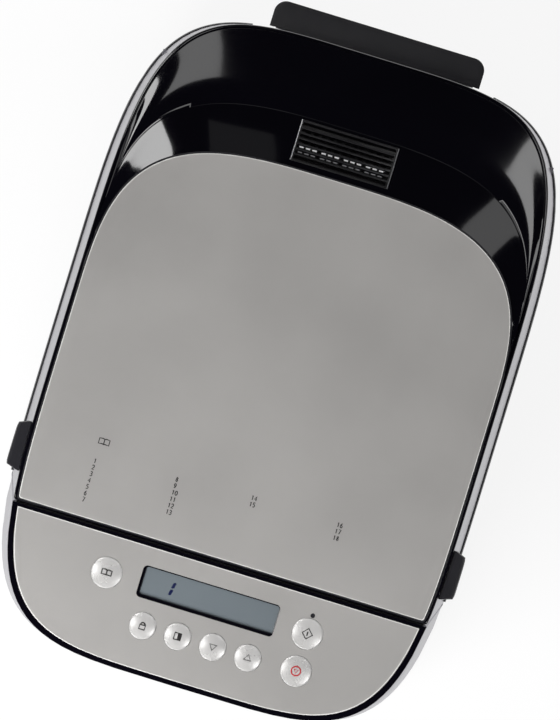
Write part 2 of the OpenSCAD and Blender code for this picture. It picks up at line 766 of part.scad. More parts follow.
module heater_clips() {
    clip_w = 8;
    clip_t = 1;
    reach = (chamber_w - heater_w) / 2 + heater_r;
    color("#9a9b9e") for (s = [-1, 1], y = [-36, 36]) translate([0, y - clip_w / 2, 0]) {
        translate([s * chamber_w / 2 - (s > 0 ? reach : 0), 0, heater_z - heater_r - 0.2 - clip_t])
            cube([reach, clip_w, clip_t]);
        translate([s * chamber_w / 2 - (s > 0 ? clip_t : 0), 0, heater_z - heater_r - 14])
            cube([clip_t, clip_w, 14]);
    }
}

module temperature_sensor() {
    color("#c2c3c6") translate([0, -chamber_d / 2, sensor_z]) rotate([90, 0, 0]) {
        translate([0, 0, -8]) cylinder(h = 8 + chamber_t + 3, r = sensor_r);
        translate([0, 0, chamber_t]) cylinder(h = 1.5, r = sensor_r + 3);
        translate([0, 0, -10]) cylinder(h = 2, r1 = sensor_r - 2, r2 = sensor_r);
    }
}

// ---- Pan socket, chassis and drive ----

socket_r = pan_foot_r + socket_gap;
plate_hub_r = bush_r + 4;
chassis_t = 3;
bush_top_z = chamber_z - 0.5;
pulley_z = belt_z - 1;
pulley_h = belt_w + 2;
coupling_disc_z = chamber_floor_z + 1.5;
coupling_disc_t = 3;
coupling_z = coupling_disc_z + coupling_disc_t + 1.5;
coupling_h = 7;
dog_play = 0.3;
belt_play = 0.2;

module pan_socket() {
    color("#8c8e92") difference() {
        union() {
            post(0, 0, chamber_floor_z, chamber_floor_z + 2, socket_r + socket_t + 6);
            post(0, 0, chamber_floor_z, chamber_floor_z + socket_h, socket_r + socket_t);
        }
        post(0, 0, chamber_floor_z - cut, chamber_floor_z + socket_h + cut, socket_r);
    }
}

module chassis_frame() {
    color("#9c9ea1") difference() {
        union() {
            slab(chamber_z - chassis_t, chamber_z) difference() {
                round_rect(2 * leg_x + 16, 2 * leg_y + 16, 8);
                for (x = [-1, 1]) translate([x * 36, 0]) round_rect(26, 52, 6);
            }
            post(0, 0, bush_top_z - bush_l - 1, chamber_z - 1, plate_hub_r);
            for (p = leg_places) post(p.x, p.y, floor_z + floor_t, chamber_z - 1, leg_r);
            for (a = [45:90:315]) rotate([0, 0, a]) translate([plate_hub_r - 1, -1.5, chamber_z - 12])
                cube([24, 3, 10]);
        }
        post(0, 0, bush_top_z - bush_l, bush_top_z + 0.1, bush_r + 0.03);
        post(0, 0, bush_top_z - bush_l - 2 - cut, chamber_z + cut, drive_shaft_r + 0.5);
        for (p = leg_places) post(p.x, p.y, floor_z, floor_z + floor_t + 14, screw_r + 0.1);
    }
}

module bearing_bush() {
    color("#a9874e") difference() {
        post(0, 0, bush_top_z - bush_l, bush_top_z, bush_r);
        post(0, 0, bush_top_z - bush_l - cut, bush_top_z + cut, drive_shaft_r + run_gap);
    }
}

module base_screws() {
    color("#8a8a8e") for (p = leg_places) difference() {
        union() {
            post(p.x, p.y, floor_z + 0.2, floor_z + 0.2 + screw_head_h, screw_head_r);
            post(p.x, p.y, floor_z + 0.2 + screw_head_h, floor_z + floor_t + 12, screw_r);
        }
        for (a = [0, 90]) translate([p.x, p.y, floor_z + 0.2]) rotate([0, 0, a])
            cube([4.4, 0.9, 1.6], center = true);
    }
}

module drive_shaft() {
    color("#b9babd") post(0, 0, pulley_z - 4, coupling_disc_z + coupling_disc_t - 0.2, drive_shaft_r);
}

module pulley(r, bore, spokes) {
    difference() {
        union() {
            cylinder(h = pulley_h, r = r);
            cylinder(h = 1, r = r + belt_t + 0.6);
            translate([0, 0, pulley_h - 1]) cylinder(h = 1, r = r + belt_t + 0.6);
        }
        translate([0, 0, -cut]) cylinder(h = pulley_h + 2 * cut, r = bore);
        if (spokes > 0) for (i = [0:spokes - 1]) rotate([0, 0, i * 360 / spokes])
            translate([r * 0.6, 0, -cut]) cylinder(h = pulley_h + 2 * cut, r = r * 0.2);
    }
}

module drive_pulley() {
    color("#d8d4c6") translate([0, 0, pulley_z]) pulley(drive_pulley_r, drive_shaft_r + 0.02, 6);
}

module drive_coupling() {
    dog_x = coupling_w / 2 + dog_play;
    color("#77797d") difference() {
        union() {
            post(0, 0, coupling_disc_z, coupling_disc_z + coupling_disc_t, coupling_l + 3);
            for (a = [0, 180]) rotate([0, 0, a])
                translate([dog_x, coupling_l - 5.5, coupling_disc_z + coupling_disc_t - 0.5])
                    cube([5, 5.5, coupling_h + 1.5]);
        }
        post(0, 0, coupling_disc_z - cut, coupling_disc_z + coupling_disc_t + cut, drive_shaft_r + 0.02);
    }
}

module belt_outline(grow) {
    hull() {
        circle(drive_pulley_r + grow, $fn = 120);
        translate([0, motor_y]) circle(motor_pulley_r + grow, $fn = 60);
    }
}

module drive_belt() {
    color("#1a1a1a") slab(belt_z + 0.2, belt_z + belt_w - 0.2) difference() {
        belt_outline(belt_play + belt_t);
        belt_outline(belt_play);
    }
}

motor_z = motor_plate_z + motor_plate_t;

module motor() {
    color("#6e7074") difference() {
        union() {
            post(0, motor_y, motor_z + 3, motor_z + 3 + motor_h, motor_r);
            post(0, motor_y, motor_z, motor_z + 3, motor_r - 4);
            post(0, motor_y, motor_plate_z + 0.5, motor_z + 1, motor_shaft_r + 5);
            post(0, motor_y, motor_z + 2 + motor_h, motor_z + 7 + motor_h, motor_r * 0.35);
            for (a = [0, 180]) rotate([0, 0, a]) translate([0, a == 0 ? motor_y : -motor_y, 0])
                translate([motor_r - 2, -6, motor_z + 12]) cube([5, 12, motor_h - 20]);
        }
        post(0, motor_y, motor_plate_z - cut, motor_z + 24, motor_shaft_r + run_gap);
        for (i = [0:11]) translate([0, motor_y, motor_z + motor_h + 3]) rotate([0, 0, i * 30])
            translate([motor_r * 0.55, -1.2, -3]) cube([motor_r * 0.34, 2.4, 6]);
    }
}

module motor_bracket() {
    color("#9c9ea1") slab(motor_plate_z, motor_z) difference() {
        translate([0, motor_y])
            round_rect(2 * (motor_post_x + motor_post_r + 2), 2 * (motor_post_y + motor_post_r + 1), 5);
        translate([0, motor_y]) circle(motor_shaft_r + 5 + 0.05);
    }
}

module motor_shaft() {
    color("#c4c5c8") post(0, motor_y, pulley_z - 3, motor_z + 23, motor_shaft_r);
}

module motor_pulley() {
    color("#3a3a3e") translate([0, motor_y, pulley_z]) pulley(motor_pulley_r, motor_shaft_r + 0.02, 0);
}

module power_board() {
    color("#3b7a4e") translate([power_board_x, power_board_y, board_z]) {
        translate([-power_board_w / 2, -power_board_d / 2, 0]) cube([power_board_w, power_board_d, board_t]);
        for (b = power_blocks) translate([b[0], b[1], board_t]) cube([b[2], b[3], b[4]]);
        for (c = power_cans) post(c[0], c[1], board_t, board_t + c[3], c[2]);
    }
}

// ---- Bread pan, handle and kneader ----

pan_z = chamber_floor_z + 0.3 + pan_foot_h;
pan_top_z = pan_z + pan_h;
pan_side = 10;

function rect_ring(w, d, r, z, steps) = [for (q = [0:3], i = [0:steps])
    let (a = -90 + 90 * q + 90 * i / steps, sx = q == 0 || q == 1 ? 1 : -1, sy = q == 1 || q == 2 ? 1 : -1)
    [sx * (w / 2 - r) + r * cos(a), sy * (d / 2 - r) + r * sin(a), z]];

// A ring of the pan's wall at a height, moved outwards by grow
function pan_ring(z, grow) = let (share = (pan_top_z - z) / pan_h, cutback = pan_taper * share)
    rect_ring(pan_w - cutback + 2 * grow, pan_d - cutback + 2 * grow, pan_r + grow, z, pan_side);

module bread_pan() {
    fillet = 5;
    rim_h = 2;
    outer = [
        pan_ring(pan_z, -fillet), pan_ring(pan_z + fillet * 0.3, -fillet * 0.3),
        pan_ring(pan_z + fillet, 0), pan_ring(pan_top_z - rim_h, 0),
        pan_ring(pan_top_z - rim_h, pan_rim), pan_ring(pan_top_z, pan_rim)];
    inner = [
        pan_ring(pan_z + pan_t, -fillet - 0.2), pan_ring(pan_z + pan_t + fillet * 0.3, -fillet * 0.3 - pan_t),
        pan_ring(pan_z + fillet + pan_t, -pan_t), pan_ring(pan_top_z - rim_h - pan_t, -pan_t),
        pan_ring(pan_top_z - rim_h * 0.6, -pan_t), pan_ring(pan_top_z, -pan_t)];
    color("#4a4b4f") difference() {
        union() {
            skin(outer, inner, true);
            slab(pan_z, pan_z + pan_t) polygon([for (p = pan_ring(pan_z, -fillet)) [p.x, p.y]]);
        }
        post(0, 0, pan_z - cut, pan_z + pan_t + cut, pan_shaft_r + 0.5);
    }
}

module pan_foot() {
    foot_z = chamber_floor_z + 0.3;
    web_t = 3;
    hub_r = pan_shaft_r + 6;
    hub_h = 8;
    color("#7d7f83") difference() {
        union() {
            difference() {
                post(0, 0, foot_z, pan_z, pan_foot_r);
                post(0, 0, foot_z - cut, pan_z - web_t, pan_foot_r - socket_t);
            }
            post(0, 0, pan_z - hub_h, pan_z - web_t + 0.5, hub_r);
            for (i = [0:5]) rotate([0, 0, i * 60 + 30]) translate([hub_r - 1, -1.2, pan_z - web_t - 5])
                cube([pan_foot_r - socket_t - hub_r + 2, 2.4, 5.5]);
        }
        post(0, 0, pan_z - hub_h - cut, pan_z + cut, pan_shaft_r + run_gap);
        for (i = [0:3]) rotate([0, 0, i * 90 + 45]) translate([0, 0, foot_z + 8]) rotate([0, 90, 0])
            cylinder(h = pan_foot_r + cut, r = 3);
    }
}

bail_z = pan_top_z - bail_drop;
bail_x = pan_w / 2 + bail_gap;
ear_t = 4;
ear_r = 6;
ear_x = bail_x - bail_r - 0.4;

module pan_ears() {
    plate_top = 3;
    wall_x = (pan_w - pan_taper * (bail_drop - plate_top) / pan_h) / 2;
    color("#b5b6b9") for (s = [-1, 1]) difference() {
        union() {
            translate([s * ear_x, 0, bail_z]) rotate([0, -s * 90, 0])
                cylinder(h = ear_x - wall_x - 0.1, r = ear_r);
            translate([s > 0 ? wall_x + 0.1 : -wall_x - 1.3, -11, bail_z + plate_top - 17])
                cube([1.2, 22, 17]);
            for (y = [-1, 1]) translate([s * (wall_x + 0.2), y * 7, bail_z - 10]) rotate([0, s * 90, 0])
                cylinder(h = 2.2, r = 2.4);
        }
        translate([s * (ear_x + cut), 0, bail_z]) rotate([0, -s * 90, 0])
            cylinder(h = ear_t + cut, r = bail_r + run_gap);
    }
}

module pan_handle() {
    b = bail_bend_r;
    color("#c9cacc") translate([0, 0, bail_z]) {
        tube_run([-bail_x + b, -bail_reach], [bail_x - b, -bail_reach], bail_r);
        for (s = [-1, 1]) {
            tube_run([s * bail_x, -bail_reach + b], [s * bail_x, 0], bail_r);
            translate([s * bail_x, 0, 0]) sphere(bail_r);
            tube_run([s * bail_x, 0], [s * (ear_x - ear_t + 0.6), 0], bail_r);
        }
        tube_bend([bail_x - b, -bail_reach + b], b, -90, bail_r);
        tube_bend([-bail_x + b, -bail_reach + b], b, 180, bail_r);
    }
}

pan_shaft_top_z = pan_z + pan_t + pan_shaft_h;
blade_z = pan_z + pan_t + 0.6;

module pan_shaft() {
    color("#c4c5c8") difference() {
        post(0, 0, coupling_z - 0.5, pan_shaft_top_z, pan_shaft_r);
        translate([-pan_shaft_r, pan_shaft_r - 0.8, blade_z + 2])
            cube([2 * pan_shaft_r, 2, pan_shaft_top_z - blade_z]);
    }
}

module pan_coupling() {
    color("#77797d") difference() {
        union() {
            translate([-coupling_w / 2, -coupling_l, coupling_z])
                cube([coupling_w, 2 * coupling_l, coupling_h]);
            post(0, 0, coupling_z, coupling_z + coupling_h, pan_shaft_r + 1.4);
        }
        post(0, 0, coupling_z - cut, coupling_z + coupling_h + cut, pan_shaft_r + 0.02);
    }
}

module kneading_blade() {
    hub_r = 8.5;
    tip_h = 12;
    root_h = blade_h - 5;
    bore_h = pan_shaft_top_z - blade_z + 0.3;
    color("#3f4044") difference() {
        union() {
            translate([0, 0, blade_z]) cylinder(h = blade_h - 4, r = hub_r);
            translate([0, 0, blade_z + blade_h - 4]) cylinder(h = 4, r1 = hub_r, r2 = hub_r - 3);
            hull() {
                translate([4, 0, blade_z]) cylinder(h = root_h, r = blade_t / 2, $fn = 24);
                translate([blade_l * 0.62, 4, blade_z]) cylinder(h = tip_h + 6, r = blade_t / 2, $fn = 24);
            }
            hull() {
                translate([blade_l * 0.62, 4, blade_z]) cylinder(h = tip_h + 6, r = blade_t / 2, $fn = 24);
                translate([blade_l - 3, 11, blade_z]) cylinder(h = tip_h, r = blade_t / 2 - 0.5, $fn = 24);
            }
        }
        post(0, 0, blade_z - cut, blade_z + bore_h, pan_shaft_r + 0.03);
    }
}

// ---- Lid ----

lid_corner = 1.2;
side_steps = 6;
arc_steps = 22;
plate_half = rim_w / 2 - rim_band;
arch_b = lid_plate_rear_y - arch_y;
crest_z = plate_z - 0.1;
lid_wall = 1.6;
lid_wall_place = front_gap + 1;
ledge_w = 6;
crown_t = 1.8;

// Half width of the lid plate at a place
function plate_x(y) = y < arch_y
    ? plate_half * pow(1 - pow(abs(y - mid_y) / half_d, squareness), 1 / squareness)
    : plate_half * pow(max(0, 1 - pow((y - arch_y) / arch_b, arch_power)), 1 / arch_power);

// Right side of a lid outline from the front centre to the rear centre.
// Straight across the front, then half widths from a function, then an arched rear.
function lid_half(yf, side, y0, b, n) = let (w = side(yf), yc = yf + lid_corner, a = side(y0)) concat(
    [[0, yf], [w * 0.5, yf], [w - lid_corner, yf], [w, yc]],
    [for (s = [1:side_steps]) let (y = yc + (y0 - yc) * s / side_steps) [side(y), y]],
    [for (k = [1:arc_steps]) let (t = 90 * k / arc_steps) [a * power_cos(t, n), y0 + b * power_sin(t, n)]]);

function plate_ring(grow) = both_sides(lid_half(lid_plate_front_y - grow,
    function(y) plate_x(y) + grow, arch_y, arch_b + grow, arch_power));
function crease_ring(grow) = both_sides(lid_half(lid_plate_front_y - grow,
    function(y) plate_x(y) + grow, crease_y, crease_rear_y - crease_y, arch_power - 0.1));
function rim_ring(inset, yf) = both_sides(lid_half(yf,
    function(y) (rim_w / 2 - inset) * unit_half(y), mid_y, half_d - inset, squareness));

// Heights of the crease and of the rim at a place
function share_between(y, y0, y1) = min(1, max(0, (y - y0) / (y1 - y0)));
function crease_fall(y) = crease_drop * pow(share_between(y, crease_y, crease_rear_y), 1.4);
function rim_fall(y) = rim_drop * pow(share_between(y, 0, rear_y), 1.6);
function raised(ring, z, fall) = [for (p = ring) [p.x, p.y, z - fall(p.y)]];
flat_fall = function(y) 0;
crease_line = function(y) crease_fall(y);
rim_line = function(y) rim_fall(y);

lid_front_y = seam_high_y + front_gap;
vent_y = (lid_plate_rear_y + crease_rear_y) / 2 + 1.4;
vent_slope = atan2(crease_drop - 0.6, crease_rear_y - lid_plate_rear_y);
vent_z = crest_z - crease_drop / 2 - 1.2;

vent_depth = 6;

// Places a piece on the sloping rear of the crown
module on_slope() {
    translate([0, vent_y, vent_z]) rotate([-vent_slope, 0, 0]) children();
}

module lid_frame() {
    outer = [
        raised(rim_ring(0, lid_front_y + 0.1), rim_z - rim_side, rim_line),
        raised(rim_ring(0, lid_front_y), rim_z - 0.7, rim_line),
        raised(rim_ring(0.7, lid_front_y + 0.3), rim_z, rim_line),
        raised(crease_ring(0.5), crest_z, crease_line),
        raised(plate_ring(0.2), crest_z, flat_fall),
        raised(plate_ring(0.2), bed_z, flat_fall),
        raised(plate_ring(-ledge_w), bed_z, flat_fall)];
    inner = [
        raised(rim_ring(lid_wall, lid_front_y + 0.9), rim_z - rim_side, rim_line),
        raised(rim_ring(lid_wall, lid_front_y + 0.9), rim_z - crown_t - 0.1, rim_line),
        raised(rim_ring(lid_wall + 0.3, lid_front_y + 0.95), rim_z - crown_t, rim_line),
        raised(crease_ring(0.45), crest_z - crown_t, crease_line),
        raised(plate_ring(0.2), crest_z - crown_t, flat_fall),
        raised(plate_ring(0.1), bed_z - 2, flat_fall),
        raised(plate_ring(-ledge_w), bed_z - 2, flat_fall)];
    color("#09090c") difference() {
        union() {
            skin(outer, inner, true);
            cross_wall(joint_z + joint_gap / 2 + 0.2, bed_z - 1, lid_wall_place, lid_wall);
        }
        on_slope() cube([vent_w + 0.6, vent_l + 0.6, 16], center = true);
    }
}

module lid_plate() {
    color("#9b9a98") slab(bed_z, plate_z) polygon(plate_ring(0));
}

skirt_shares = [0, 0.34, 0.67, 1];
function skirt_half(share, inset) = let (
    base = joint_z + joint_gap / 2,
    w = (casing_w - share * (casing_w - rim_w)) / 2 - inset,
    z_front = base + share * (rim_z - rim_side - seat_gap - base),
    full = lid_half(seam_y(z_front) + joint_gap / 2,
        function(y) w * unit_half(y), mid_y, half_d - inset, squareness))
    [for (i = [3:len(full) - 1]) let (p = full[i])
        [p.x, p.y, base + share * (rim_z - rim_side - seat_gap - rim_fall(p.y) - base)]];
function skirt_row(share, inset) = let (half = skirt_half(share, inset))
    concat(half, [for (i = [len(half) - 2:-1:0]) [-half[i].x, half[i].y, half[i].z]]);

module lid_skirt() {
    color("#b9b9c0") difference() {
        union() {
            skin([for (s = skirt_shares) skirt_row(s, 0)],
                [for (s = skirt_shares) skirt_row(s, shell_t)], false);
            side_lugs(lid_screws_at, liner_z + liner_t + 0.1, liner_z + liner_t + 8);
        }
        translate([-knuckle_half - 1, rear_y - 10, joint_z - 1])
            cube([2 * knuckle_half + 2, 20, strap_z + strap_t + 1.4 - joint_z]);
    }
}

// Steam vent: a frame, bars across it and a perforated strip below
module steam_vent() {
    frame_t = 1.4;
    bar_pitch = (vent_l - 2 * frame_t) / (vent_bars + 1);
    color("#0d0d10") on_slope() {
        translate([0, 0, -vent_depth]) linear_extrude(vent_depth + 0.2) difference() {
            square([vent_w, vent_l], center = true);
            square([vent_w - 2 * frame_t, vent_l - 2 * frame_t], center = true);
        }
        for (i = [1:vent_bars])
            translate([-vent_w / 2 + 0.5, -vent_l / 2 + frame_t + i * bar_pitch - 0.6, -3.2])
                cube([vent_w - 1, 1.2, 2.8]);
        translate([0, 0, -vent_depth]) linear_extrude(1) difference() {
            square([vent_w - 1, vent_l - 1], center = true);
            for (i = [-5:5], j = [-1:1]) translate([i * 4.6, j * 6]) square([3, 3.4], center = true);
        }
    }
}

liner_z = joint_z + 0.6;
dome_w = chamber_w - 14;
dome_d = chamber_d - 14;
dome_lean = 3;
dome_shoulder = 9;
dome_lean_h = dome_h - 4;
function dome_wall_y(z) = dome_d / 2 + liner_t - dome_lean * (z - liner_z) / dome_lean_h;
strap_z = liner_z + liner_t + 0.1;
flange_front_y = seam_y(liner_z) + lid_wall_place + lid_wall + 0.2;

module steam_duct() {
    duct_w = vent_w - 5;
    duct_low_z = liner_z + 7;
    neck_z = duct_low_z + 12;
    low_front_y = dome_wall_y(duct_low_z) + seat_gap;
    neck_front_y = dome_wall_y(neck_z) + seat_gap;
    back_y = vent_y + vent_l / 2 - 1.5;
    mouth_front_y = vent_y - vent_l / 2 + 1;
    mouth_drop = (vent_depth + seat_gap) / cos(vent_slope);
    back_z = vent_z - tan(vent_slope) * (back_y - vent_y) - mouth_drop;
    mouth_z = vent_z + tan(vent_slope) * (vent_y - mouth_front_y) - mouth_drop;
    duct_t = 1.2;
    profile = [[low_front_y, duct_low_z], [back_y, duct_low_z], [back_y, back_z],
        [mouth_front_y, mouth_z], [mouth_front_y, neck_z], [neck_front_y, neck_z]];
    hollow = [[low_front_y - cut, duct_low_z + duct_t], [back_y - duct_t, duct_low_z + duct_t],
        [back_y - duct_t, back_z + cut + 3], [mouth_front_y + duct_t, mouth_z + cut + 3],
        [mouth_front_y + duct_t, neck_z - duct_t], [neck_front_y - 2 * cut, neck_z - duct_t]];
    color("#2a2a2e") difference() {
        union() {
            translate([-duct_w / 2, 0, 0]) rotate([90, 0, 90]) linear_extrude(duct_w) polygon(profile);
            for (x = [-1, 1], y = [low_front_y + 10, back_y - 8])
                post(x * (duct_w / 2 - 6), y, liner_z + liner_t + 0.1, duct_low_z + 0.6, 3);
        }
        translate([-duct_w / 2 + duct_t, 0, 0]) rotate([90, 0, 90])
            linear_extrude(duct_w - 2 * duct_t) polygon(hollow);
    }
}

lid_screw_x = casing_w / 2 - 14.1;
lid_screw_front_y = seam_low_y + 18;
lid_screw_mid_y = 100;
lid_screw_rear_y = rear_y - 35;
lid_screws_at = [for (x = [-1, 1]) each [[x * lid_screw_x, lid_screw_front_y],
    [x * lid_screw_x, lid_screw_mid_y], [x * (lid_screw_x - 14), lid_screw_rear_y]]];

module lid_liner() {
    function dome_ring(inset, z, grow) = rect_ring(dome_w + 2 * (grow - inset),
        dome_d + 2 * (grow - inset), chamber_r - 6 - inset / 2 + grow, z, 8);
    dome_z = liner_z + dome_h;
    color("#b2b4b6") difference() {
        union() {
            slab(liner_z, liner_z + liner_t) difference() {
                intersection() {
                    polygon(casing_outline(casing_w / 2, shell_t + seat_gap));
                    behind(flange_front_y);
                }
                polygon([for (p = dome_ring(0, 0, liner_t / 2)) [p.x, p.y]]);
            }
            skin([dome_ring(0, liner_z, liner_t), dome_ring(dome_lean, liner_z + dome_lean_h, liner_t),
                dome_ring(dome_shoulder, dome_z + liner_t, 0)],
                [dome_ring(0, liner_z, 0), dome_ring(dome_lean, liner_z + dome_lean_h, 0),
                dome_ring(dome_shoulder + 1.2, dome_z, 0)], true);
            slab(dome_z, dome_z + liner_t)
                polygon([for (p = dome_ring(dome_shoulder + 0.6, 0, 0)) [p.x, p.y]]);
        }
        for (i = [-3:3]) translate([i * 6.4 - 1.5, dome_d / 2 - 10, liner_z + 9]) cube([3, 16, 8]);
        for (p = lid_screws_at) post(p.x, p.y, liner_z - cut, liner_z + liner_t + cut, screw_r + screw_gap);
    }
}

module lid_seal() {
    color("#8b8782") slab(deck_z + 0.2, liner_z) difference() {
        round_rect(chamber_w + 17, chamber_d + 17, chamber_r + 8.5);
        round_rect(chamber_w + 9, chamber_d + 9, chamber_r + 4.5);
    }
}

module lid_screws() {
    color("#8a8a8e") for (p = lid_screws_at) difference() {
        union() {
            post(p.x, p.y, liner_z - 1.1, liner_z, screw_head_r - 0.3);
            post(p.x, p.y, liner_z - 0.5, liner_z + 8, screw_r);
        }
        translate([p.x, p.y, liner_z - 1.1]) cube([4, 0.8, 1], center = true);
    }
}

// Lid grips: moulded finger lips below the rim, with round outer corners
module lid_grips() {
    profile = [[0, 3], [0.07, 1], [0.2, 0], [0.84, 0], [0.94, 0.6], [1, 1.8]];
    steps = 14;
    root_t = 0.8;
    tip_x = max(casing_w, rim_w) / 2 + grip_proud;
    grip_z = rim_z - rim_side - 0.4 - grip_h;
    function share_x(z) = (casing_w - (casing_w - rim_w) * (z - joint_z) / (rim_z - joint_z)) / 2;
    function bulge(s) = pow(max(0, 1 - pow(abs(2 * s - 1), 8)), 1 / 4);
    function seat(y, z) = share_x(z) * unit_half(y) + 0.15;
    function place(i) = grip_front_y + grip_l * i / steps;
    function seat_row(z) = [for (i = [0:steps]) [seat(place(i), z), place(i), z]];
    function lip_row(z, inset) = [for (i = [0:steps]) let (root = seat(place(i), z) + root_t)
        [root + (tip_x - inset - root) * bulge(i / steps), place(i), z]];
    color("#1c1c1f") for (m = [0, 1]) mirror([m, 0, 0]) skin(
        [for (row = profile) lip_row(grip_z + row[0] * grip_h, row[1])],
        [for (row = profile) seat_row(grip_z + row[0] * grip_h)], false);
}

// ---- Hinge ----

hinge_y = rear_y + knuckle_r + 0.3;
hinge_z = joint_z - hinge_sink;
cover_rear_y = rear_y + hinge_cover_d;
cover_top_z = hinge_z + knuckle_r + hinge_cover_t + 2;
side_knuckle_end = hinge_cover_w / 2 - hinge_cover_t - 1;
strap_front_y = rear_y - strap_l;

// A round bar along X at the hinge axis
module hinge_bar(x0, x1, r) {
    translate([x0, hinge_y, hinge_z]) rotate([0, 90, 0]) cylinder(h = x1 - x0, r = r);
}

module hinge_strap() {
    color("#8d8f93") difference() {
        union() {
            translate([-knuckle_half, strap_front_y, strap_z])
                cube([2 * knuckle_half, hinge_y + 3 - strap_front_y, strap_t]);
            translate([-knuckle_half, hinge_y - 3, hinge_z])
                cube([2 * knuckle_half, 6, strap_z + strap_t - hinge_z]);
            hinge_bar(-knuckle_half, knuckle_half, knuckle_r);
        }
        hinge_bar(-knuckle_half - cut, knuckle_half + cut, hinge_pin_r + run_gap);
    }
}

module hinge_bracket() {
    plate_low_z = hinge_z - 30;
    color("#1d1d20") difference() {
        union() {
            for (s = [0, 1]) mirror([s, 0, 0]) {
                hinge_bar(knuckle_half + 1, side_knuckle_end, knuckle_r);
                translate([knuckle_half + 1, rear_y + 0.3, hinge_z - 12])
                    cube([side_knuckle_end - knuckle_half - 1, 3.6, 12]);
            }
            translate([-side_knuckle_end, rear_y + 0.3, plate_low_z])
                cube([2 * side_knuckle_end, 2, hinge_z - 9 - plate_low_z]);
        }
        hinge_bar(-side_knuckle_end - cut, side_knuckle_end + cut, hinge_pin_r + run_gap);
    }
}

module hinge_pin() {
    color("#c4c5c8") hinge_bar(-side_knuckle_end - 0.2, side_knuckle_end + 0.2, hinge_pin_r);
}

module hinge_cover() {
    r = hinge_cover_r;
    w = hinge_cover_w;
    low_z = hinge_z - 1;
    module plan(inset) {
        front = rear_y + 0.2;
        back = cover_rear_y - inset;
        half = w / 2 - inset;
        ri = max(r - inset, 1);
        translate([-half, front]) square([2 * half, back - ri - front]);
        translate([-half + ri, front]) square([2 * (half - ri), back - front]);
        for (s = [-1, 1]) translate([s * (half - ri), back - ri]) circle(ri);
    }
    color("#26262a") difference() {
        slab(low_z, cover_top_z) plan(0);
        slab(low_z - cut, cover_top_z - hinge_cover_t) plan(hinge_cover_t);
        translate([-w / 2 + hinge_cover_t, rear_y - 1, low_z - cut])
            cube([w - 2 * hinge_cover_t, 4, cover_top_z - hinge_cover_t - low_z + cut]);
    }
}

module cord_inlet() {
    flange = 2.4;
    y0 = inlet_inner_y - flange;
    y1 = inlet_seat_y + flange;
    color("#1a1a1c") translate([inlet_x, 0, inlet_z]) rotate([-90, 0, 0]) difference() {
        union() {
            translate([0, 0, y0]) cylinder(h = y1 - y0, r = inlet_r);
            translate([0, 0, inlet_seat_y]) cylinder(h = flange, r = inlet_flange_r);
            translate([0, 0, y0]) cylinder(h = flange, r = inlet_r + 1.6);
        }
        translate([0, 0, y0 - cut]) cylinder(h = y1 - y0 + 2 * cut, r = inlet_bore_r);
    }
}

base_tray();
rubber_feet();
body_wrap();
top_deck();
control_housing();
control_panel();
display_window();
display_module();
start_light();
control_board();
key_switches();
oven_chamber();
heat_shield();
heating_element();
heater_clips();
pan_socket();
temperature_sensor();
chassis_frame();
bearing_bush();
power_board();
motor();
motor_bracket();
drive_belt();
hinge_bracket();
hinge_pin();
cord_inlet();
base_screws();
deck_screws();
drive_shaft();
drive_pulley();
drive_coupling();
motor_shaft();
motor_pulley();
bread_pan();
pan_foot();
pan_ears();
pan_handle();
pan_shaft();
pan_coupling();
kneading_blade();
lid_frame();
lid_skirt();
lid_plate();
steam_vent();
steam_duct();
lid_liner();
lid_seal();
lid_grips();
hinge_strap();
hinge_cover();
lid_screws();
menu_key();
start_key();
stop_key();
timer_key();
crust_key();
down_key();
up_key();
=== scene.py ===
import bpy
import bmesh
import json
import math
from mathutils import Matrix, Vector


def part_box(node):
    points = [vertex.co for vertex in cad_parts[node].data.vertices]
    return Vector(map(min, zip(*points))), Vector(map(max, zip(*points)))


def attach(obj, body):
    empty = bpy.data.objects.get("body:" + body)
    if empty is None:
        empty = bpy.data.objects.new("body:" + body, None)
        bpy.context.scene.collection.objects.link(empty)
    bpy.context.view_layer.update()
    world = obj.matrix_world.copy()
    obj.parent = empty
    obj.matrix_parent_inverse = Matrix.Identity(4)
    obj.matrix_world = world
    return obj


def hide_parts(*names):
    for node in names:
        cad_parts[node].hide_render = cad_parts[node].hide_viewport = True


# Bread machine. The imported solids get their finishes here. The lid's crown, the printed numbers, the marks on
# the keys and the edge lines are added. Forms are worked out in millimetres, in the frame's own axes, and
# placed in metres. Pairs of x and y are seen from above.

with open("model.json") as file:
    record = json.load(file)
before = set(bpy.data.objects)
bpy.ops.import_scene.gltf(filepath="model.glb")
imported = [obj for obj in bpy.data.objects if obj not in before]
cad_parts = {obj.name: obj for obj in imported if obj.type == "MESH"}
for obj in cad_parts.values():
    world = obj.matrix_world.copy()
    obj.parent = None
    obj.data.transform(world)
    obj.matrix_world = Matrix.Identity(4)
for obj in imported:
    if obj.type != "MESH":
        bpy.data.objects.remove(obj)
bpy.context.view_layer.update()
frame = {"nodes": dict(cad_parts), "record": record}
nodes = frame["nodes"]

MM = 0.001


# ---------------------------------------------------------------- sizes from the frame
def box_mm(node):
    lo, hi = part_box(node)
    return [v / MM for v in lo], [v / MM for v in hi]


wrap_lo, wrap_hi = box_mm("body_wrap")
skirt_lo = box_mm("lid_skirt")[0]
plate_lo, plate_hi = box_mm("lid_plate")
panel_lo, panel_hi = box_mm("control_panel")
housing_hi = box_mm("control_housing")[1]
window_lo, window_hi = box_mm("display_window")
vent_lo, vent_hi = box_mm("steam_vent")
key_top = box_mm("menu_key")[1][2]

# Gaps and steps between the pieces
HALF_JOINT = 0.4
PLATE_ABOVE_RIM = 0.2
PLATE_ABOVE_CREST = 0.1
PLATE_BEHIND_LIP = 1.5
KEY_EDGE_PROUD = 0.1
KEY_FLANGE = 1.0
HAIR = 0.02

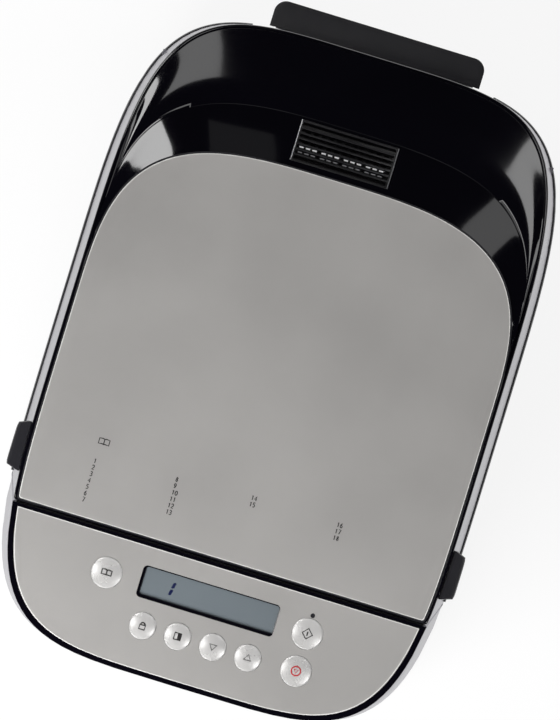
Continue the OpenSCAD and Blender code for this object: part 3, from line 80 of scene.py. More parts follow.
# The outline, the plate's arched rear and the crease behind it are superellipses
OUTLINE_POWER = 4.65
ARCH_Y, ARCH_POWER = 0.0, 3.4
CREASE_Y, CREASE_REAR_Y, CREASE_POWER = 30.0, 132.8, 3.3

# How far the crease and the rim fall towards the rear
CREASE_DROP, CREASE_DROP_POWER = 9.0, 1.4
RIM_DROP, RIM_DROP_POWER = 17.0, 1.6

# Place of the slanted joint in front of the lid, at the level joint and at the rim
SEAM_LOW, SEAM_HIGH = -106.0, -119.4

rear_y = wrap_hi[1]
mid_y = (wrap_lo[1] + rear_y) / 2
half_d = (rear_y - wrap_lo[1]) / 2
half_w = wrap_hi[0]


def unit_half(y):
    """Half the outline's width at y, as a share of its greatest half width."""
    return max(0.0, 1 - (abs(y - mid_y) / half_d) ** OUTLINE_POWER) ** (1 / OUTLINE_POWER)


rim_half = housing_hi[0] / unit_half(housing_hi[1])
plate_z = plate_hi[2]
plate_half = plate_hi[0]
plate_front_y = plate_lo[1]
plate_rear_y = plate_hi[1]
arch_depth = plate_rear_y - ARCH_Y
bed_z = plate_lo[2]
joint_z = skirt_lo[2] - HALF_JOINT
rim_z = plate_z - PLATE_ABOVE_RIM
crest_z = plate_z - PLATE_ABOVE_CREST
key_edge_z = plate_z + KEY_EDGE_PROUD
lid_front_y = plate_front_y - PLATE_BEHIND_LIP


def share_up(z):
    """Share of the way from the level joint up to the rim."""
    return (z - joint_z) / (rim_z - joint_z)


def seam_y(z):
    return SEAM_LOW + (SEAM_HIGH - SEAM_LOW) * share_up(z)


def side_x(z):
    return half_w - (half_w - rim_half) * share_up(z)


def plate_x(y):
    if y < ARCH_Y:
        return plate_half * unit_half(y)
    return plate_half * max(0.0, 1 - ((y - ARCH_Y) / arch_depth) ** ARCH_POWER) ** (1 / ARCH_POWER)


def clamp01(v):
    return min(1.0, max(0.0, v))


def crease_fall(y):
    return CREASE_DROP * clamp01((y - CREASE_Y) / (CREASE_REAR_Y - CREASE_Y)) ** CREASE_DROP_POWER


def rim_fall(y):
    return RIM_DROP * clamp01(y / rear_y) ** RIM_DROP_POWER


# ---------------------------------------------------------------- outlines of the lid, and plain shapes
FRONT_STEPS, SIDE_STEPS, ARC_STEPS = 8, 24, 60
CORNER = 1.2
CORNER_MIDDLE = 0.3 * CORNER
CREASE_REAR_SHARE = 0.6


def superellipse(a, b, power, degrees):
    """The point at an angle in the first quarter of a superellipse with half axes a and b."""
    t = math.radians(degrees)
    return a * math.cos(t) ** (2 / power), b * math.sin(t) ** (2 / power)


def lid_half(front, side, arc_y, depth, power):
    """Right half of an outline: straight front, small corner, side as a function of y, and arched rear."""
    w = side(front)
    corner_y = front + CORNER
    pts = [(w * k / FRONT_STEPS, front) for k in range(FRONT_STEPS)]
    pts += [(w - CORNER, front), (w - CORNER_MIDDLE, front + CORNER_MIDDLE), (w, corner_y)]
    for k in range(1, SIDE_STEPS + 1):
        y = corner_y + (arc_y - corner_y) * k / SIDE_STEPS
        pts.append((side(y), y))
    for k in range(1, ARC_STEPS):
        x, rise = superellipse(side(arc_y), depth, power, 90 * k / ARC_STEPS)
        pts.append((x, arc_y + rise))
    return pts + [(0.0, arc_y + depth)]


def both_sides(half):
    return half + [(-x, y) for x, y in half[-2:0:-1]]


def plate_ring(grow):
    return both_sides(lid_half(plate_front_y - grow, lambda y: plate_x(y) + grow,
                               ARCH_Y, arch_depth + grow, ARCH_POWER))


def crease_ring(grow):
    depth = CREASE_REAR_Y + grow * CREASE_REAR_SHARE - CREASE_Y
    return both_sides(lid_half(plate_front_y - grow, lambda y: plate_x(y) + grow,
                               CREASE_Y, depth, CREASE_POWER))


def rim_ring(inset, front):
    return both_sides(lid_half(front, lambda y: (rim_half - inset) * unit_half(y),
                               mid_y, half_d - inset, OUTLINE_POWER))


def raised(ring, z, fall=None):
    """The ring at height z, less what a function of y takes off."""
    return [(x, y, z - (fall(y) if fall else 0)) for x, y in ring]


def mix_rings(a, b, t, lift=0.0):
    """The ring at share t of the way from a to b, plus a lift."""
    return [(p[0] + (q[0] - p[0]) * t, p[1] + (q[1] - p[1]) * t, p[2] + (q[2] - p[2]) * t + lift)
            for p, q in zip(a, b)]


def moved(pts, x, y):
    return [(x + px, y + py) for px, py in pts]


def arc(r, steps, start=0.0, sweep=360.0):
    """Points of an arc round the origin, in degrees; a whole circle doesn't repeat its first point."""
    count = steps if sweep == 360.0 else steps + 1
    angles = [math.radians(start + sweep * k / steps) for k in range(count)]
    return [(r * math.cos(a), r * math.sin(a)) for a in angles]


def rectangle(x0, y0, x1, y1):
    return [(x0, y0), (x1, y0), (x1, y1), (x0, y1)]


def round_rect(x0, y0, x1, y1, r):
    corners = ((x1 - r, y0 + r, -90), (x1 - r, y1 - r, 0), (x0 + r, y1 - r, 90), (x0 + r, y0 + r, 180))
    return [p for x, y, start in corners for p in moved(arc(r, 8, start, 90), x, y)]


# ---------------------------------------------------------------- mesh helpers
WELD_M = 0.000004
SMOOTH_ANGLE = 28
BEVEL_ANGLE = 50
BEVEL_SEGMENTS = 2


def metres(x, y, z):
    return Vector((x, y, z)) * MM


def add_piece(name, bm, body, slot, finish=None):
    """Makes an object that rides on the body, with its slot's finish if no other is given."""
    bmesh.ops.recalc_face_normals(bm, faces=bm.faces)
    me = bpy.data.meshes.new(name)
    bm.to_mesh(me)
    bm.free()
    ob = bpy.data.objects.new(name, me)
    bpy.context.scene.collection.objects.link(ob)
    me.materials.append(finishes[finish or slot])
    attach(ob, body)
    return ob


def loft(bm, rings, close=True):
    """Rings of points in millimetres, joined in order; with close, the last one joins the first."""
    rows = [[bm.verts.new(metres(*p)) for p in ring] for ring in rings]
    pairs = list(zip(rows, rows[1:]))
    if close:
        pairs.append((rows[-1], rows[0]))
    for a, b in pairs:
        for j in range(len(a)):
            k = (j + 1) % len(a)
            bm.faces.new((a[j], a[k], b[k], b[j]))
    return rows


def band(bm, outline, hole, z0, z1):
    """A flat ring between an outline and a hole of as many points, in millimetres."""
    loft(bm, [raised(outline, z0), raised(outline, z1), raised(hole, z1), raised(hole, z0)])


def solid(bm, low, high):
    """A closed solid between two faces of as many points, in metres."""
    lo = [bm.verts.new(p) for p in low]
    hi = [bm.verts.new(p) for p in high]
    bm.faces.new(hi)
    bm.faces.new(list(reversed(lo)))
    for j in range(len(lo)):
        k = (j + 1) % len(lo)
        bm.faces.new((lo[j], lo[k], hi[k], hi[j]))


def smooth_group(degrees):
    """Geometry nodes: drop stored normals, weld, and shade smooth where edges are below an angle."""
    ng = bpy.data.node_groups.new("smooth_%d" % degrees, "GeometryNodeTree")
    ng.interface.new_socket("Geometry", in_out="INPUT", socket_type="NodeSocketGeometry")
    ng.interface.new_socket("Geometry", in_out="OUTPUT", socket_type="NodeSocketGeometry")
    n = ng.nodes
    group_in = n.new("NodeGroupInput")
    group_out = n.new("NodeGroupOutput")
    drop = n.new("GeometryNodeRemoveAttribute")
    drop.inputs["Name"].default_value = "custom_normal"
    weld = n.new("GeometryNodeMergeByDistance")
    weld.inputs["Distance"].default_value = WELD_M
    faces = n.new("GeometryNodeSetShadeSmooth")
    faces.domain = "FACE"
    faces.inputs["Shade Smooth"].default_value = True
    edges = n.new("GeometryNodeSetShadeSmooth")
    edges.domain = "EDGE"
    edges.inputs["Shade Smooth"].default_value = False
    angle = n.new("GeometryNodeInputMeshEdgeAngle")
    sharp = n.new("FunctionNodeCompare")
    sharp.data_type = "FLOAT"
    sharp.operation = "GREATER_THAN"
    sharp.inputs[1].default_value = math.radians(degrees)
    link = ng.links.new
    link(group_in.outputs[0], drop.inputs["Geometry"])
    link(drop.outputs[0], weld.inputs["Geometry"])
    link(weld.outputs[0], faces.inputs["Geometry"])
    link(faces.outputs[0], edges.inputs["Geometry"])
    link(angle.outputs["Unsigned Angle"], sharp.inputs[0])
    link(sharp.outputs[0], edges.inputs["Selection"])
    link(edges.outputs[0], group_out.inputs[0])
    return ng


smooth_nodes = smooth_group(SMOOTH_ANGLE)


def smooth(ob, bevel=0.0):
    """Smooth shading between sharp edges, which are rounded first where a bevel is given."""
    if bevel:
        weld = ob.modifiers.new("weld", "WELD")
        weld.merge_threshold = WELD_M
        edge = ob.modifiers.new("edge", "BEVEL")
        edge.width = bevel * MM
        edge.segments = BEVEL_SEGMENTS
        edge.limit_method = "ANGLE"
        edge.angle_limit = math.radians(BEVEL_ANGLE)
        edge.use_clamp_overlap = True
    ob.modifiers.new("smooth", "NODES").node_group = smooth_nodes


def baked(ob):
    """Replaces an object's mesh by its evaluated one and clears its modifiers."""
    depsgraph = bpy.context.evaluated_depsgraph_get()
    me = bpy.data.meshes.new_from_object(ob.evaluated_get(depsgraph))
    old = ob.data
    ob.modifiers.clear()
    ob.data = me
    bpy.data.meshes.remove(old)


# ---------------------------------------------------------------- finishes
BUMP_M = 0.0002
NOISE_LOW, NOISE_HIGH = 0.3, 0.7


def material(name, color, rough, metallic=0.0, vary=0.06, scale=40.0, bump=0.0, bump_scale=900.0,
             rough_vary=0.05, coat=0.0, coat_rough=0.05, spec=None):
    """Procedural finish: colour and roughness drift with noise, and fine relief from a second noise."""
    m = bpy.data.materials.new(name)
    m.use_nodes = True
    nt = m.node_tree
    nt.nodes.clear()
    out = nt.nodes.new("ShaderNodeOutputMaterial")
    bsdf = nt.nodes.new("ShaderNodeBsdfPrincipled")
    nt.links.new(bsdf.outputs[0], out.inputs[0])
    place = nt.nodes.new("ShaderNodeTexCoord").outputs["Object"]
    noise = nt.nodes.new("ShaderNodeTexNoise")
    noise.inputs["Scale"].default_value = scale
    noise.inputs["Detail"].default_value = 4
    nt.links.new(place, noise.inputs["Vector"])
    ramp = nt.nodes.new("ShaderNodeValToRGB")
    stops = zip(ramp.color_ramp.elements, (NOISE_LOW, NOISE_HIGH), (1 - vary, 1 + vary))
    for stop, position, share in stops:
        stop.position = position
        stop.color = (*(clamp01(c * share) for c in color), 1)
    nt.links.new(noise.outputs["Fac"], ramp.inputs["Fac"])
    nt.links.new(ramp.outputs["Color"], bsdf.inputs["Base Color"])
    drift = nt.nodes.new("ShaderNodeMapRange")
    drift.inputs["From Min"].default_value = NOISE_LOW
    drift.inputs["From Max"].default_value = NOISE_HIGH
    drift.inputs["To Min"].default_value = max(0.01, rough - rough_vary)
    drift.inputs["To Max"].default_value = min(1.0, rough + rough_vary)
    nt.links.new(noise.outputs["Fac"], drift.inputs["Value"])
    nt.links.new(drift.outputs[0], bsdf.inputs["Roughness"])
    bsdf.inputs["Metallic"].default_value = metallic
    if spec is not None:
        bsdf.inputs["Specular IOR Level"].default_value = spec
    if coat:
        bsdf.inputs["Coat Weight"].default_value = coat
        bsdf.inputs["Coat Roughness"].default_value = coat_rough
    if bump:
        fine = nt.nodes.new("ShaderNodeTexNoise")
        fine.inputs["Scale"].default_value = bump_scale
        fine.inputs["Detail"].default_value = 3
        nt.links.new(place, fine.inputs["Vector"])
        relief = nt.nodes.new("ShaderNodeBump")
        relief.inputs["Strength"].default_value = bump
        relief.inputs["Distance"].default_value = BUMP_M
        nt.links.new(fine.outputs["Fac"], relief.inputs["Height"])
        nt.links.new(relief.outputs[0], bsdf.inputs["Normal"])
    return m


# One for each of the record's slots
SLOT_FINISHES = {
    "silver_paint": dict(color=(0.33, 0.324, 0.352), rough=0.30, metallic=0.7, vary=0.03, scale=25,
                         bump=0.012, bump_scale=320, rough_vary=0.03),
    "brushed_plate": dict(color=(0.385, 0.374, 0.362), rough=0.42, metallic=0.55, vary=0.035, scale=14,
                          bump=0.12, bump_scale=1500, rough_vary=0.04),
    "gloss_black": dict(color=(0.0012, 0.001, 0.0024), rough=0.05, vary=0.10, scale=18, rough_vary=0.012,
                        coat=0.3, coat_rough=0.03, bump=0.004, bump_scale=60),
    "matte_black": dict(color=(0.0075, 0.0072, 0.0095), rough=0.46, vary=0.10, scale=60,
                        bump=0.22, bump_scale=1700, spec=0.35),
    "key_silver": dict(color=(0.55, 0.542, 0.532), rough=0.27, metallic=0.5, vary=0.03, scale=60,
                       bump=0.01, bump_scale=500, rough_vary=0.03),
    "display_grey": dict(color=(0.105, 0.122, 0.134), rough=0.16, vary=0.05, scale=14, rough_vary=0.03,
                         bump=0.01, bump_scale=300),
    "module_grey": dict(color=(0.03, 0.035, 0.035), rough=0.5, vary=0.1, scale=50, bump=0.1),
    "board_green": dict(color=(0.03, 0.13, 0.06), rough=0.35, vary=0.2, scale=120, bump=0.15, bump_scale=700),
    "sheet_steel": dict(color=(0.50, 0.50, 0.51), rough=0.36, metallic=0.95, vary=0.12, scale=55,
                        bump=0.06, bump_scale=300, rough_vary=0.08),
    "liner_aluminium": dict(color=(0.66, 0.66, 0.67), rough=0.33, metallic=1.0, vary=0.05, scale=30,
                            bump=0.05, bump_scale=500, rough_vary=0.06),
    "heater_steel": dict(color=(0.16, 0.155, 0.15), rough=0.5, metallic=0.8, vary=0.2, scale=60,
                         bump=0.1, bump_scale=800),
    "bush_brass": dict(color=(0.55, 0.40, 0.18), rough=0.36, metallic=0.95, vary=0.08, scale=90,
                       bump=0.1, bump_scale=1500),
    "motor_grey": dict(color=(0.20, 0.205, 0.21), rough=0.42, metallic=0.5, scale=40, bump=0.08),
    "black_rubber": dict(color=(0.02, 0.02, 0.02), rough=0.72, vary=0.15, scale=70, bump=0.2),
    "seal_rubber": dict(color=(0.32, 0.30, 0.28), rough=0.65, vary=0.08, scale=60, bump=0.15),
    "bright_steel": dict(color=(0.66, 0.66, 0.67), rough=0.22, metallic=1.0, vary=0.05, scale=80,
                         bump=0.04, bump_scale=1200),
    "pulley_plastic": dict(color=(0.62, 0.59, 0.50), rough=0.45, vary=0.05, scale=50, bump=0.08),
    "cast_grey": dict(color=(0.30, 0.31, 0.33), rough=0.5, metallic=0.85, vary=0.12, scale=110,
                      bump=0.25, bump_scale=700),
    "nonstick_grey": dict(color=(0.045, 0.045, 0.048), rough=0.38, metallic=0.3, vary=0.15, scale=130,
                          bump=0.15, bump_scale=1100),
}

# Print, marks, painted highlights on the vent's ribs, the vent, and painted highlights along the plates' edges
DETAIL_FINISHES = {
    "print_grey": dict(color=(0.012, 0.0115, 0.0115), rough=0.5, vary=0.1, scale=300, bump=0.02),
    "icon_dark": dict(color=(0.01, 0.009, 0.009), rough=0.45, vary=0.1, scale=300, bump=0.02),
    "icon_red": dict(color=(0.30, 0.012, 0.018), rough=0.4, vary=0.1, scale=300, bump=0.02),
    "digit_navy": dict(color=(0.003, 0.006, 0.036), rough=0.35, vary=0.1, scale=300, bump=0.02),
    # Painted highlights on the vent's ribs and hairlines, a bright and a dimmer copy
    "vent_highlight_bright": dict(color=(0.86, 0.86, 0.87), rough=0.3, vary=0.06, scale=300, bump=0.02),
    "vent_highlight_dim": dict(color=(0.22, 0.22, 0.23), rough=0.3, vary=0.10, scale=300, bump=0.02),
    "vent_black": dict(color=(0.004, 0.0038, 0.005), rough=0.36, vary=0.10, scale=60,
                       bump=0.1, bump_scale=1700),
    # Painted highlight: a pale band along the plates' edges stands in for the light they catch
    "painted_edge_highlight": dict(color=(0.86, 0.85, 0.82), rough=0.22, metallic=0.35, vary=0.04, scale=60,
                     bump=0.03, bump_scale=1500),
}
finishes = {name: material(name, **values) for name, values in {**SLOT_FINISHES, **DETAIL_FINISHES}.items()}

# Rounded edges in millimetres; a node that isn't named here keeps the edges of its solid
BEVEL = {
    "hinge_cover": 0.7, "control_housing": 0.3, "steam_vent": 0.2, "hinge_bracket": 0.3, "cord_inlet": 0.3,
    "rubber_feet": 0.3, "kneading_blade": 0.4, "hinge_strap": 0.2, "motor": 0.4, "pan_ears": 0.2,
}

node_slot = {s["node"]: s["material_slot"] for s in frame["record"]["subparts"]}
for name, ob in nodes.items():
    finish = "vent_black" if name == "steam_vent" else node_slot[name]
    ob.data.materials.clear()
    ob.data.materials.append(finishes[finish])
    smooth(ob, BEVEL.get(name, 0.0))

# ---------------------------------------------------------------- lid frame: the gloss crown
# Rows of the lip: inset from the rim's outline, step back from the lid's front, and height against the rim
LIP = [
    (1.6, 0.9, -2.0), (0.15, 0.1, -2.0), (0.0, 0.0, -1.5), (0.05, 0.0, -0.75), (0.35, 0.12, -0.22),
    (0.85, 0.35, 0.0), (1.45, 0.55, -0.05), (1.65, 0.62, -0.34), (1.85, 0.7, -0.38), (2.05, 0.78, -0.12),
    (2.15, 0.82, -0.02),
]
LIP_UNDERSIDE = (2.4, 1.2, -1.9)

# Crease, foot of the plate and underside: growth of the outline, and depth below the crest
CREASE_OUTER_GROW, CREASE_OUTER_DOWN = 1.1, 0.22
CREASE_TOP_GROW = 0.45
CREASE_ROUND_SHARE, CREASE_ROUND_LIFT = 0.55, 0.05
FOOT_GROW = 0.2
UNDER_FOOT_GROW, UNDER_FOOT_DOWN = 0.22, 1.7
UNDER_CREASE_DOWN = 1.8

SLOPE_STEPS, SLOPE_FULLNESS, SLOPE_START_SHARE = 14, 0.018, 0.35
PLATFORM_STEPS, PLATFORM_FULLNESS = 8, 0.25
PLATFORM_FULL_Y, PLATFORM_FULL_RUN = 20, 80

# The vent lies on the slope of the platform between the plate and the crease
VENT_FALL_LESS, VENT_BACK, VENT_SINK = 0.6, 1.4, 1.2
VENT_CUT_ROOM, VENT_CUT_LONG, VENT_CUT_DEEP = 0.6, 25.6, 16
vent_slope = math.atan2(CREASE_DROP - VENT_FALL_LESS, CREASE_REAR_Y - plate_rear_y)
vent_y = (plate_rear_y + CREASE_REAR_Y) / 2 + VENT_BACK
vent_z = crest_z - CREASE_DROP / 2 - VENT_SINK
vent_place = Matrix.Translation(metres(0, vent_y, vent_z)) @ Matrix.Rotation(-vent_slope, 4, "X")


def lip_ring(inset, back, lift):
    return raised(rim_ring(inset, lid_front_y + back), rim_z + lift, rim_fall)


def slope_ring(outer, inner, t):
    """A ring of the slope, above a straight one by a share of the slope's width at each point."""
    amount = SLOPE_FULLNESS * math.sin(math.pi * t) * (SLOPE_START_SHARE + (1 - SLOPE_START_SHARE) * t)
    return [(p[0], p[1], p[2] + amount * math.hypot(a[0] - b[0], a[1] - b[1]))
            for p, a, b in zip(mix_rings(outer, inner, t), outer, inner)]


def platform_ring(outer, inner, t):
    """A ring between the crease and the plate, slightly crowned towards the rear."""
    amount = PLATFORM_FULLNESS * math.sin(math.pi * t)
    return [(x, y, z + amount * clamp01((y - PLATFORM_FULL_Y) / PLATFORM_FULL_RUN))
            for x, y, z in mix_rings(outer, inner, t)]


def crown_rows():
    """Rings of the crown: lip, slope, crease, platform, foot at the plate, and back underneath."""
    lip = [lip_ring(*row) for row in LIP]
    crease_outer = raised(crease_ring(CREASE_OUTER_GROW), crest_z - CREASE_OUTER_DOWN, crease_fall)
    crease_top = raised(crease_ring(CREASE_TOP_GROW), crest_z, crease_fall)
    foot = raised(plate_ring(FOOT_GROW), crest_z)
    rows = lip[:-1]
    rows += [slope_ring(lip[-1], crease_outer, k / SLOPE_STEPS) for k in range(SLOPE_STEPS)]
    rows += [crease_outer, mix_rings(crease_outer, crease_top, CREASE_ROUND_SHARE, CREASE_ROUND_LIFT)]
    rows += [crease_top]
    rows += [platform_ring(crease_top, foot, k / PLATFORM_STEPS) for k in range(1, PLATFORM_STEPS)]
    rows += [foot, raised(plate_ring(UNDER_FOOT_GROW), crest_z - UNDER_FOOT_DOWN)]
    rows += [raised(crease_ring(CREASE_TOP_GROW), crest_z - UNDER_CREASE_DOWN, crease_fall)]
    rows += [lip_ring(*LIP_UNDERSIDE)]
    return rows


def cut_vent(ob):
    """Cuts the vent's opening through the crown."""
    bm = bmesh.new()
    bmesh.ops.create_cube(bm, size=1.0)
    size = metres(vent_hi[0] - vent_lo[0] + VENT_CUT_ROOM, VENT_CUT_LONG, VENT_CUT_DEEP)
    bmesh.ops.transform(bm, matrix=vent_place @ Matrix.Diagonal((*size, 1)), verts=bm.verts)
    me = bpy.data.meshes.new("cutter")
    bm.to_mesh(me)
    bm.free()
    cutter = bpy.data.objects.new("cutter", me)
    bpy.context.scene.collection.objects.link(cutter)
    cut = ob.modifiers.new("cut", "BOOLEAN")
    cut.operation = "DIFFERENCE"
    cut.solver = "EXACT"
    cut.object = cutter
    baked(ob)
    bpy.data.objects.remove(cutter)


def lid_crown():
    bm = bmesh.new()
    loft(bm, crown_rows())
    ob = add_piece("lid_crown", bm, "lid", "gloss_black")
    cut_vent(ob)
    smooth(ob)
    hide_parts("lid_frame")


# Ledge under the plate, and the lid's front wall, which leans along the slanted joint
LEDGE_OUT, LEDGE_IN, LEDGE_THICK = 0.8, 6, 2
WALL_BEHIND_SEAM = (1.7, 3.3)
WALL_FOOT_UP, WALL_TOP_DOWN, WALL_SIDE = 0.6, 1, 2.6


def wall_line(z, behind):
    """Both ends of a level line of the front wall, in metres."""
    y = seam_y(z) + behind
    half = (side_x(z) - WALL_SIDE) * unit_half(y)
    return [metres(-half, y, z), metres(half, y, z)]


def wall_face(behind):
    return wall_line(joint_z + WALL_FOOT_UP, behind) + wall_line(bed_z - WALL_TOP_DOWN, behind)[::-1]


def lid_ledge():
    bm = bmesh.new()
    band(bm, plate_ring(LEDGE_OUT), plate_ring(-LEDGE_IN), bed_z - LEDGE_THICK, bed_z - HAIR)
    solid(bm, *(wall_face(behind) for behind in WALL_BEHIND_SEAM))
    inner = add_piece("lid_ledge", bm, "lid", "gloss_black")
    smooth(inner)
    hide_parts("lid_frame")


lid_crown()
lid_ledge()

# ---------------------------------------------------------------- dark line at the foot of the lid's side, painted shade of the joint below the lid
# Its profile: distance out of the wall, and height above the joint
EDGE_PROFILE = ((-0.5, 0.5), (0.6, 0.5), (0.9, 0.9), (0.8, 3.2), (0.3, 5.4), (-0.6, 5.6))
EDGE_STATIONS = range(-104, 130, 6)
EDGE_ARC_START, EDGE_ARC_SWEEP, EDGE_ARC_STEPS = 32.5, 43.0, 30


def edge_path():
    """The right wall's outline at the joint, from the slanted joint round the rear corner."""
    path = [(half_w * unit_half(y), y) for y in EDGE_STATIONS]
    for k in range(EDGE_ARC_STEPS + 1):
        degrees = EDGE_ARC_START + EDGE_ARC_SWEEP * k / EDGE_ARC_STEPS
        x, rise = superellipse(half_w, half_d, OUTLINE_POWER, degrees)
        path.append((x, mid_y + rise))
    return path


def edge_line(name, side):
    """The line on one side of the lid: 1 is the right and -1 the left."""
    path = edge_path()
    rings = []
    for i, (x, y) in enumerate(path):
        before = path[max(0, i - 1)]
        after = path[min(len(path) - 1, i + 1)]
        along = Vector((after[0] - before[0], after[1] - before[1])).normalized()
        rings.append([(side * (x + along.y * out), y - along.x * out, joint_z + up)
                      for out, up in EDGE_PROFILE])
    bm = bmesh.new()
    rows = loft(bm, rings, close=False)
    bm.faces.new(rows[0])
    bm.faces.new(list(reversed(rows[-1])))
    smooth(add_piece(name, bm, "lid", "matte_black"))


# Painted shade: matte black bands over the foot of the lid's walls, where the joint shows dark
edge_line("lid_edge_left", -1)
edge_line("lid_edge_right", 1)

# ---------------------------------------------------------------- painted shade round the lid's plate, and painted highlights along the two plates' edges
# Painted shade: a matte black band round the plate's foot
FOOT_SHADE_OUT, FOOT_SHADE_IN, FOOT_SHADE_DEEP = 0.95, 0.04, 0.4
# Painted highlight along the plates' edges: its inset, width, depth and how proud it stands
EDGE_HIGHLIGHT_INSET, EDGE_HIGHLIGHT_WIDE, EDGE_HIGHLIGHT_DEEP, EDGE_HIGHLIGHT_PROUD = 0.02, 0.4, 0.1, 0.025
PANEL_STEPS = 48


def panel_ring(inset):
    """Outline of the control panel: a straight rear edge and the outline's curve in front of it."""
    back_y = panel_hi[1] - inset
    half = panel_hi[0] / unit_half(panel_hi[1]) - inset
    depth = mid_y - panel_lo[1] - inset
    start = math.degrees(math.asin(((mid_y - back_y) / depth) ** (OUTLINE_POWER / 2)))
    right = []
    for k in range(PANEL_STEPS):
        x, reach = superellipse(half, depth, OUTLINE_POWER, start + (90 - start) * k / PANEL_STEPS)
        right.append((x, mid_y - reach))
    return [(0.0, back_y)] + right + [(0.0, mid_y - depth)] + [(-x, y) for x, y in right[::-1]]


def plate_foot_shade():
    """The black line round the lid's plate, painted shade where the plate meets the crown."""
    bm = bmesh.new()
    band(bm, plate_ring(FOOT_SHADE_OUT), plate_ring(FOOT_SHADE_IN), crest_z - FOOT_SHADE_DEEP, crest_z + HAIR)
    add_piece("plate_foot_shade", bm, "lid", "matte_black")


def painted_edge_highlight(name, ring, body):
    """A pale band along a plate's edge, painted as the light that edge catches, whose outline is a function of
    an inset.
    """
    bm = bmesh.new()
    band(bm, ring(EDGE_HIGHLIGHT_INSET), ring(EDGE_HIGHLIGHT_INSET + EDGE_HIGHLIGHT_WIDE),
         plate_z - EDGE_HIGHLIGHT_DEEP, plate_z + EDGE_HIGHLIGHT_PROUD)
    add_piece(name, bm, body, "brushed_plate", finish="painted_edge_highlight")


plate_foot_shade()
painted_edge_highlight("plate_edge_highlight", lambda inset: plate_ring(-inset), "lid")
painted_edge_highlight("panel_edge_highlight", panel_ring, "casing")

# ---------------------------------------------------------------- numbers and the book printed on the plate
PRINT_THICK = 0.03


def fill(bm, pts, height, thick=PRINT_THICK):
    """A thin patch over an outline, laid on the surface whose height is a function of x and y."""
    low = [metres(x, y, height(x, y)) for x, y in pts]
    high = [metres(x, y, height(x, y) + thick) for x, y in pts]
    solid(bm, low, high)


def stroke(bm, pts, width, height, closed=False):
    """A thin ribbon along points, laid on the surface whose height is a function of x and y."""
    n = len(pts)
    left, right = [], []
    for i, (x, y) in enumerate(pts):
        before = pts[(i - 1) % n] if closed or i > 0 else pts[i]
        after = pts[(i + 1) % n] if closed or i < n - 1 else pts[i]
        along = Vector((after[0] - before[0], after[1] - before[1])).normalized() * width / 2
        left.append((x - along.y, y + along.x))
        right.append((x + along.y, y - along.x))
    for i in range(n if closed else n - 1):
        k = (i + 1) % n
        fill(bm, [left[i], right[i], right[k], left[k]], height)


def level(z):
    return lambda x, y: z


# The line of each figure, in a field one wide and one high
FIGURES = {
    "0": [(0.5, 1), (0.15, 0.85), (0, 0.5), (0.15, 0.15), (0.5, 0), (0.85, 0.15), (1, 0.5), (0.85, 0.85),
          (0.5, 1)],
    "1": [(0.2, 0.8), (0.55, 1), (0.55, 0)],
    "2": [(0.05, 0.8), (0.25, 0.97), (0.6, 1), (0.9, 0.82), (0.85, 0.58), (0.05, 0), (0.95, 0)],
    "3": [(0.05, 0.95), (0.55, 1), (0.88, 0.8), (0.7, 0.56), (0.35, 0.52), (0.75, 0.48), (0.95, 0.25),
          (0.6, 0), (0.05, 0.04)],
    "4": [(0.75, 0), (0.75, 1), (0.05, 0.3), (1, 0.3)],
    "5": [(0.9, 1), (0.2, 1), (0.15, 0.58), (0.6, 0.62), (0.92, 0.35), (0.7, 0.05), (0.1, 0.02)],
    "6": [(0.8, 0.98), (0.35, 0.8), (0.08, 0.35), (0.3, 0.02), (0.75, 0.02), (0.95, 0.3), (0.7, 0.56),
          (0.15, 0.5)],
    "7": [(0.05, 1), (0.95, 1), (0.4, 0)],
    "8": [(0.5, 0.54), (0.15, 0.76), (0.5, 1), (0.85, 0.76), (0.5, 0.54), (0.05, 0.25), (0.5, 0),
          (0.95, 0.25), (0.5, 0.54)],
    "9": [(0.9, 0.5), (0.35, 0.44), (0.06, 0.7), (0.3, 0.98), (0.75, 0.98), (0.94, 0.65), (0.65, 0.2),
          (0.2, 0.02)],
}
FIGURE_HIGH, FIGURE_STROKE = 2.5, 0.56
FIGURE_WIDE = FIGURE_HIGH * 0.52
FIGURE_GAP = FIGURE_HIGH * 0.22

# Columns of numbers: x, first number, how many of them, and y of the top row
COLUMNS = ((-84.0, 1, 7, -86.4), (-37.2, 8, 6, -83.0), (6.2, 14, 2, -80.4), (56.4, 16, 3, -80.9))
ROW_PITCH = 3.75
PRINT_BOOK_X, PRINT_BOOK_Y, PRINT_BOOK_WIDE, PRINT_BOOK_STROKE = -81.6, -73.6, 6.0, 0.62


def write_number(bm, text, x, y, height):
    for ch in text:
        line = [(x + px * FIGURE_WIDE, y + py * FIGURE_HIGH) for px, py in FIGURES[ch]]
        stroke(bm, line, FIGURE_STROKE, height)
        x += FIGURE_WIDE + FIGURE_GAP


def book(wide):
    """Lines of an open book round the origin: left page, right page and spine."""
    h = wide * 0.62
    foot, head = (0, -h * 0.42), (0, h * 0.38)
    pages = [[foot, (m * wide * 0.12, -h * 0.34), (m * wide * 0.5, -h * 0.4),
              (m * wide * 0.5, h * 0.42), (m * wide * 0.14, h * 0.48), head] for m in (-1, 1)]
    return pages + [[foot, head]]


def program_numbers():
    bm = bmesh.new()
    height = level(plate_z + HAIR)
    for x, first, count, top_y in COLUMNS:
        for i in range(count):
            write_number(bm, str(first + i), x, top_y - i * ROW_PITCH, height)
    for line in book(PRINT_BOOK_WIDE):
        stroke(bm, moved(line, PRINT_BOOK_X, PRINT_BOOK_Y), PRINT_BOOK_STROKE, height)
    add_piece("program_numbers", bm, "lid", "matte_black", finish="print_grey")


program_numbers()

# ---------------------------------------------------------------- keys: marks on the domes and turned edges
MARK_LIFT = 0.05
LINE = 0.75
THIN_LINE = 0.55
RIM_STEPS = 96

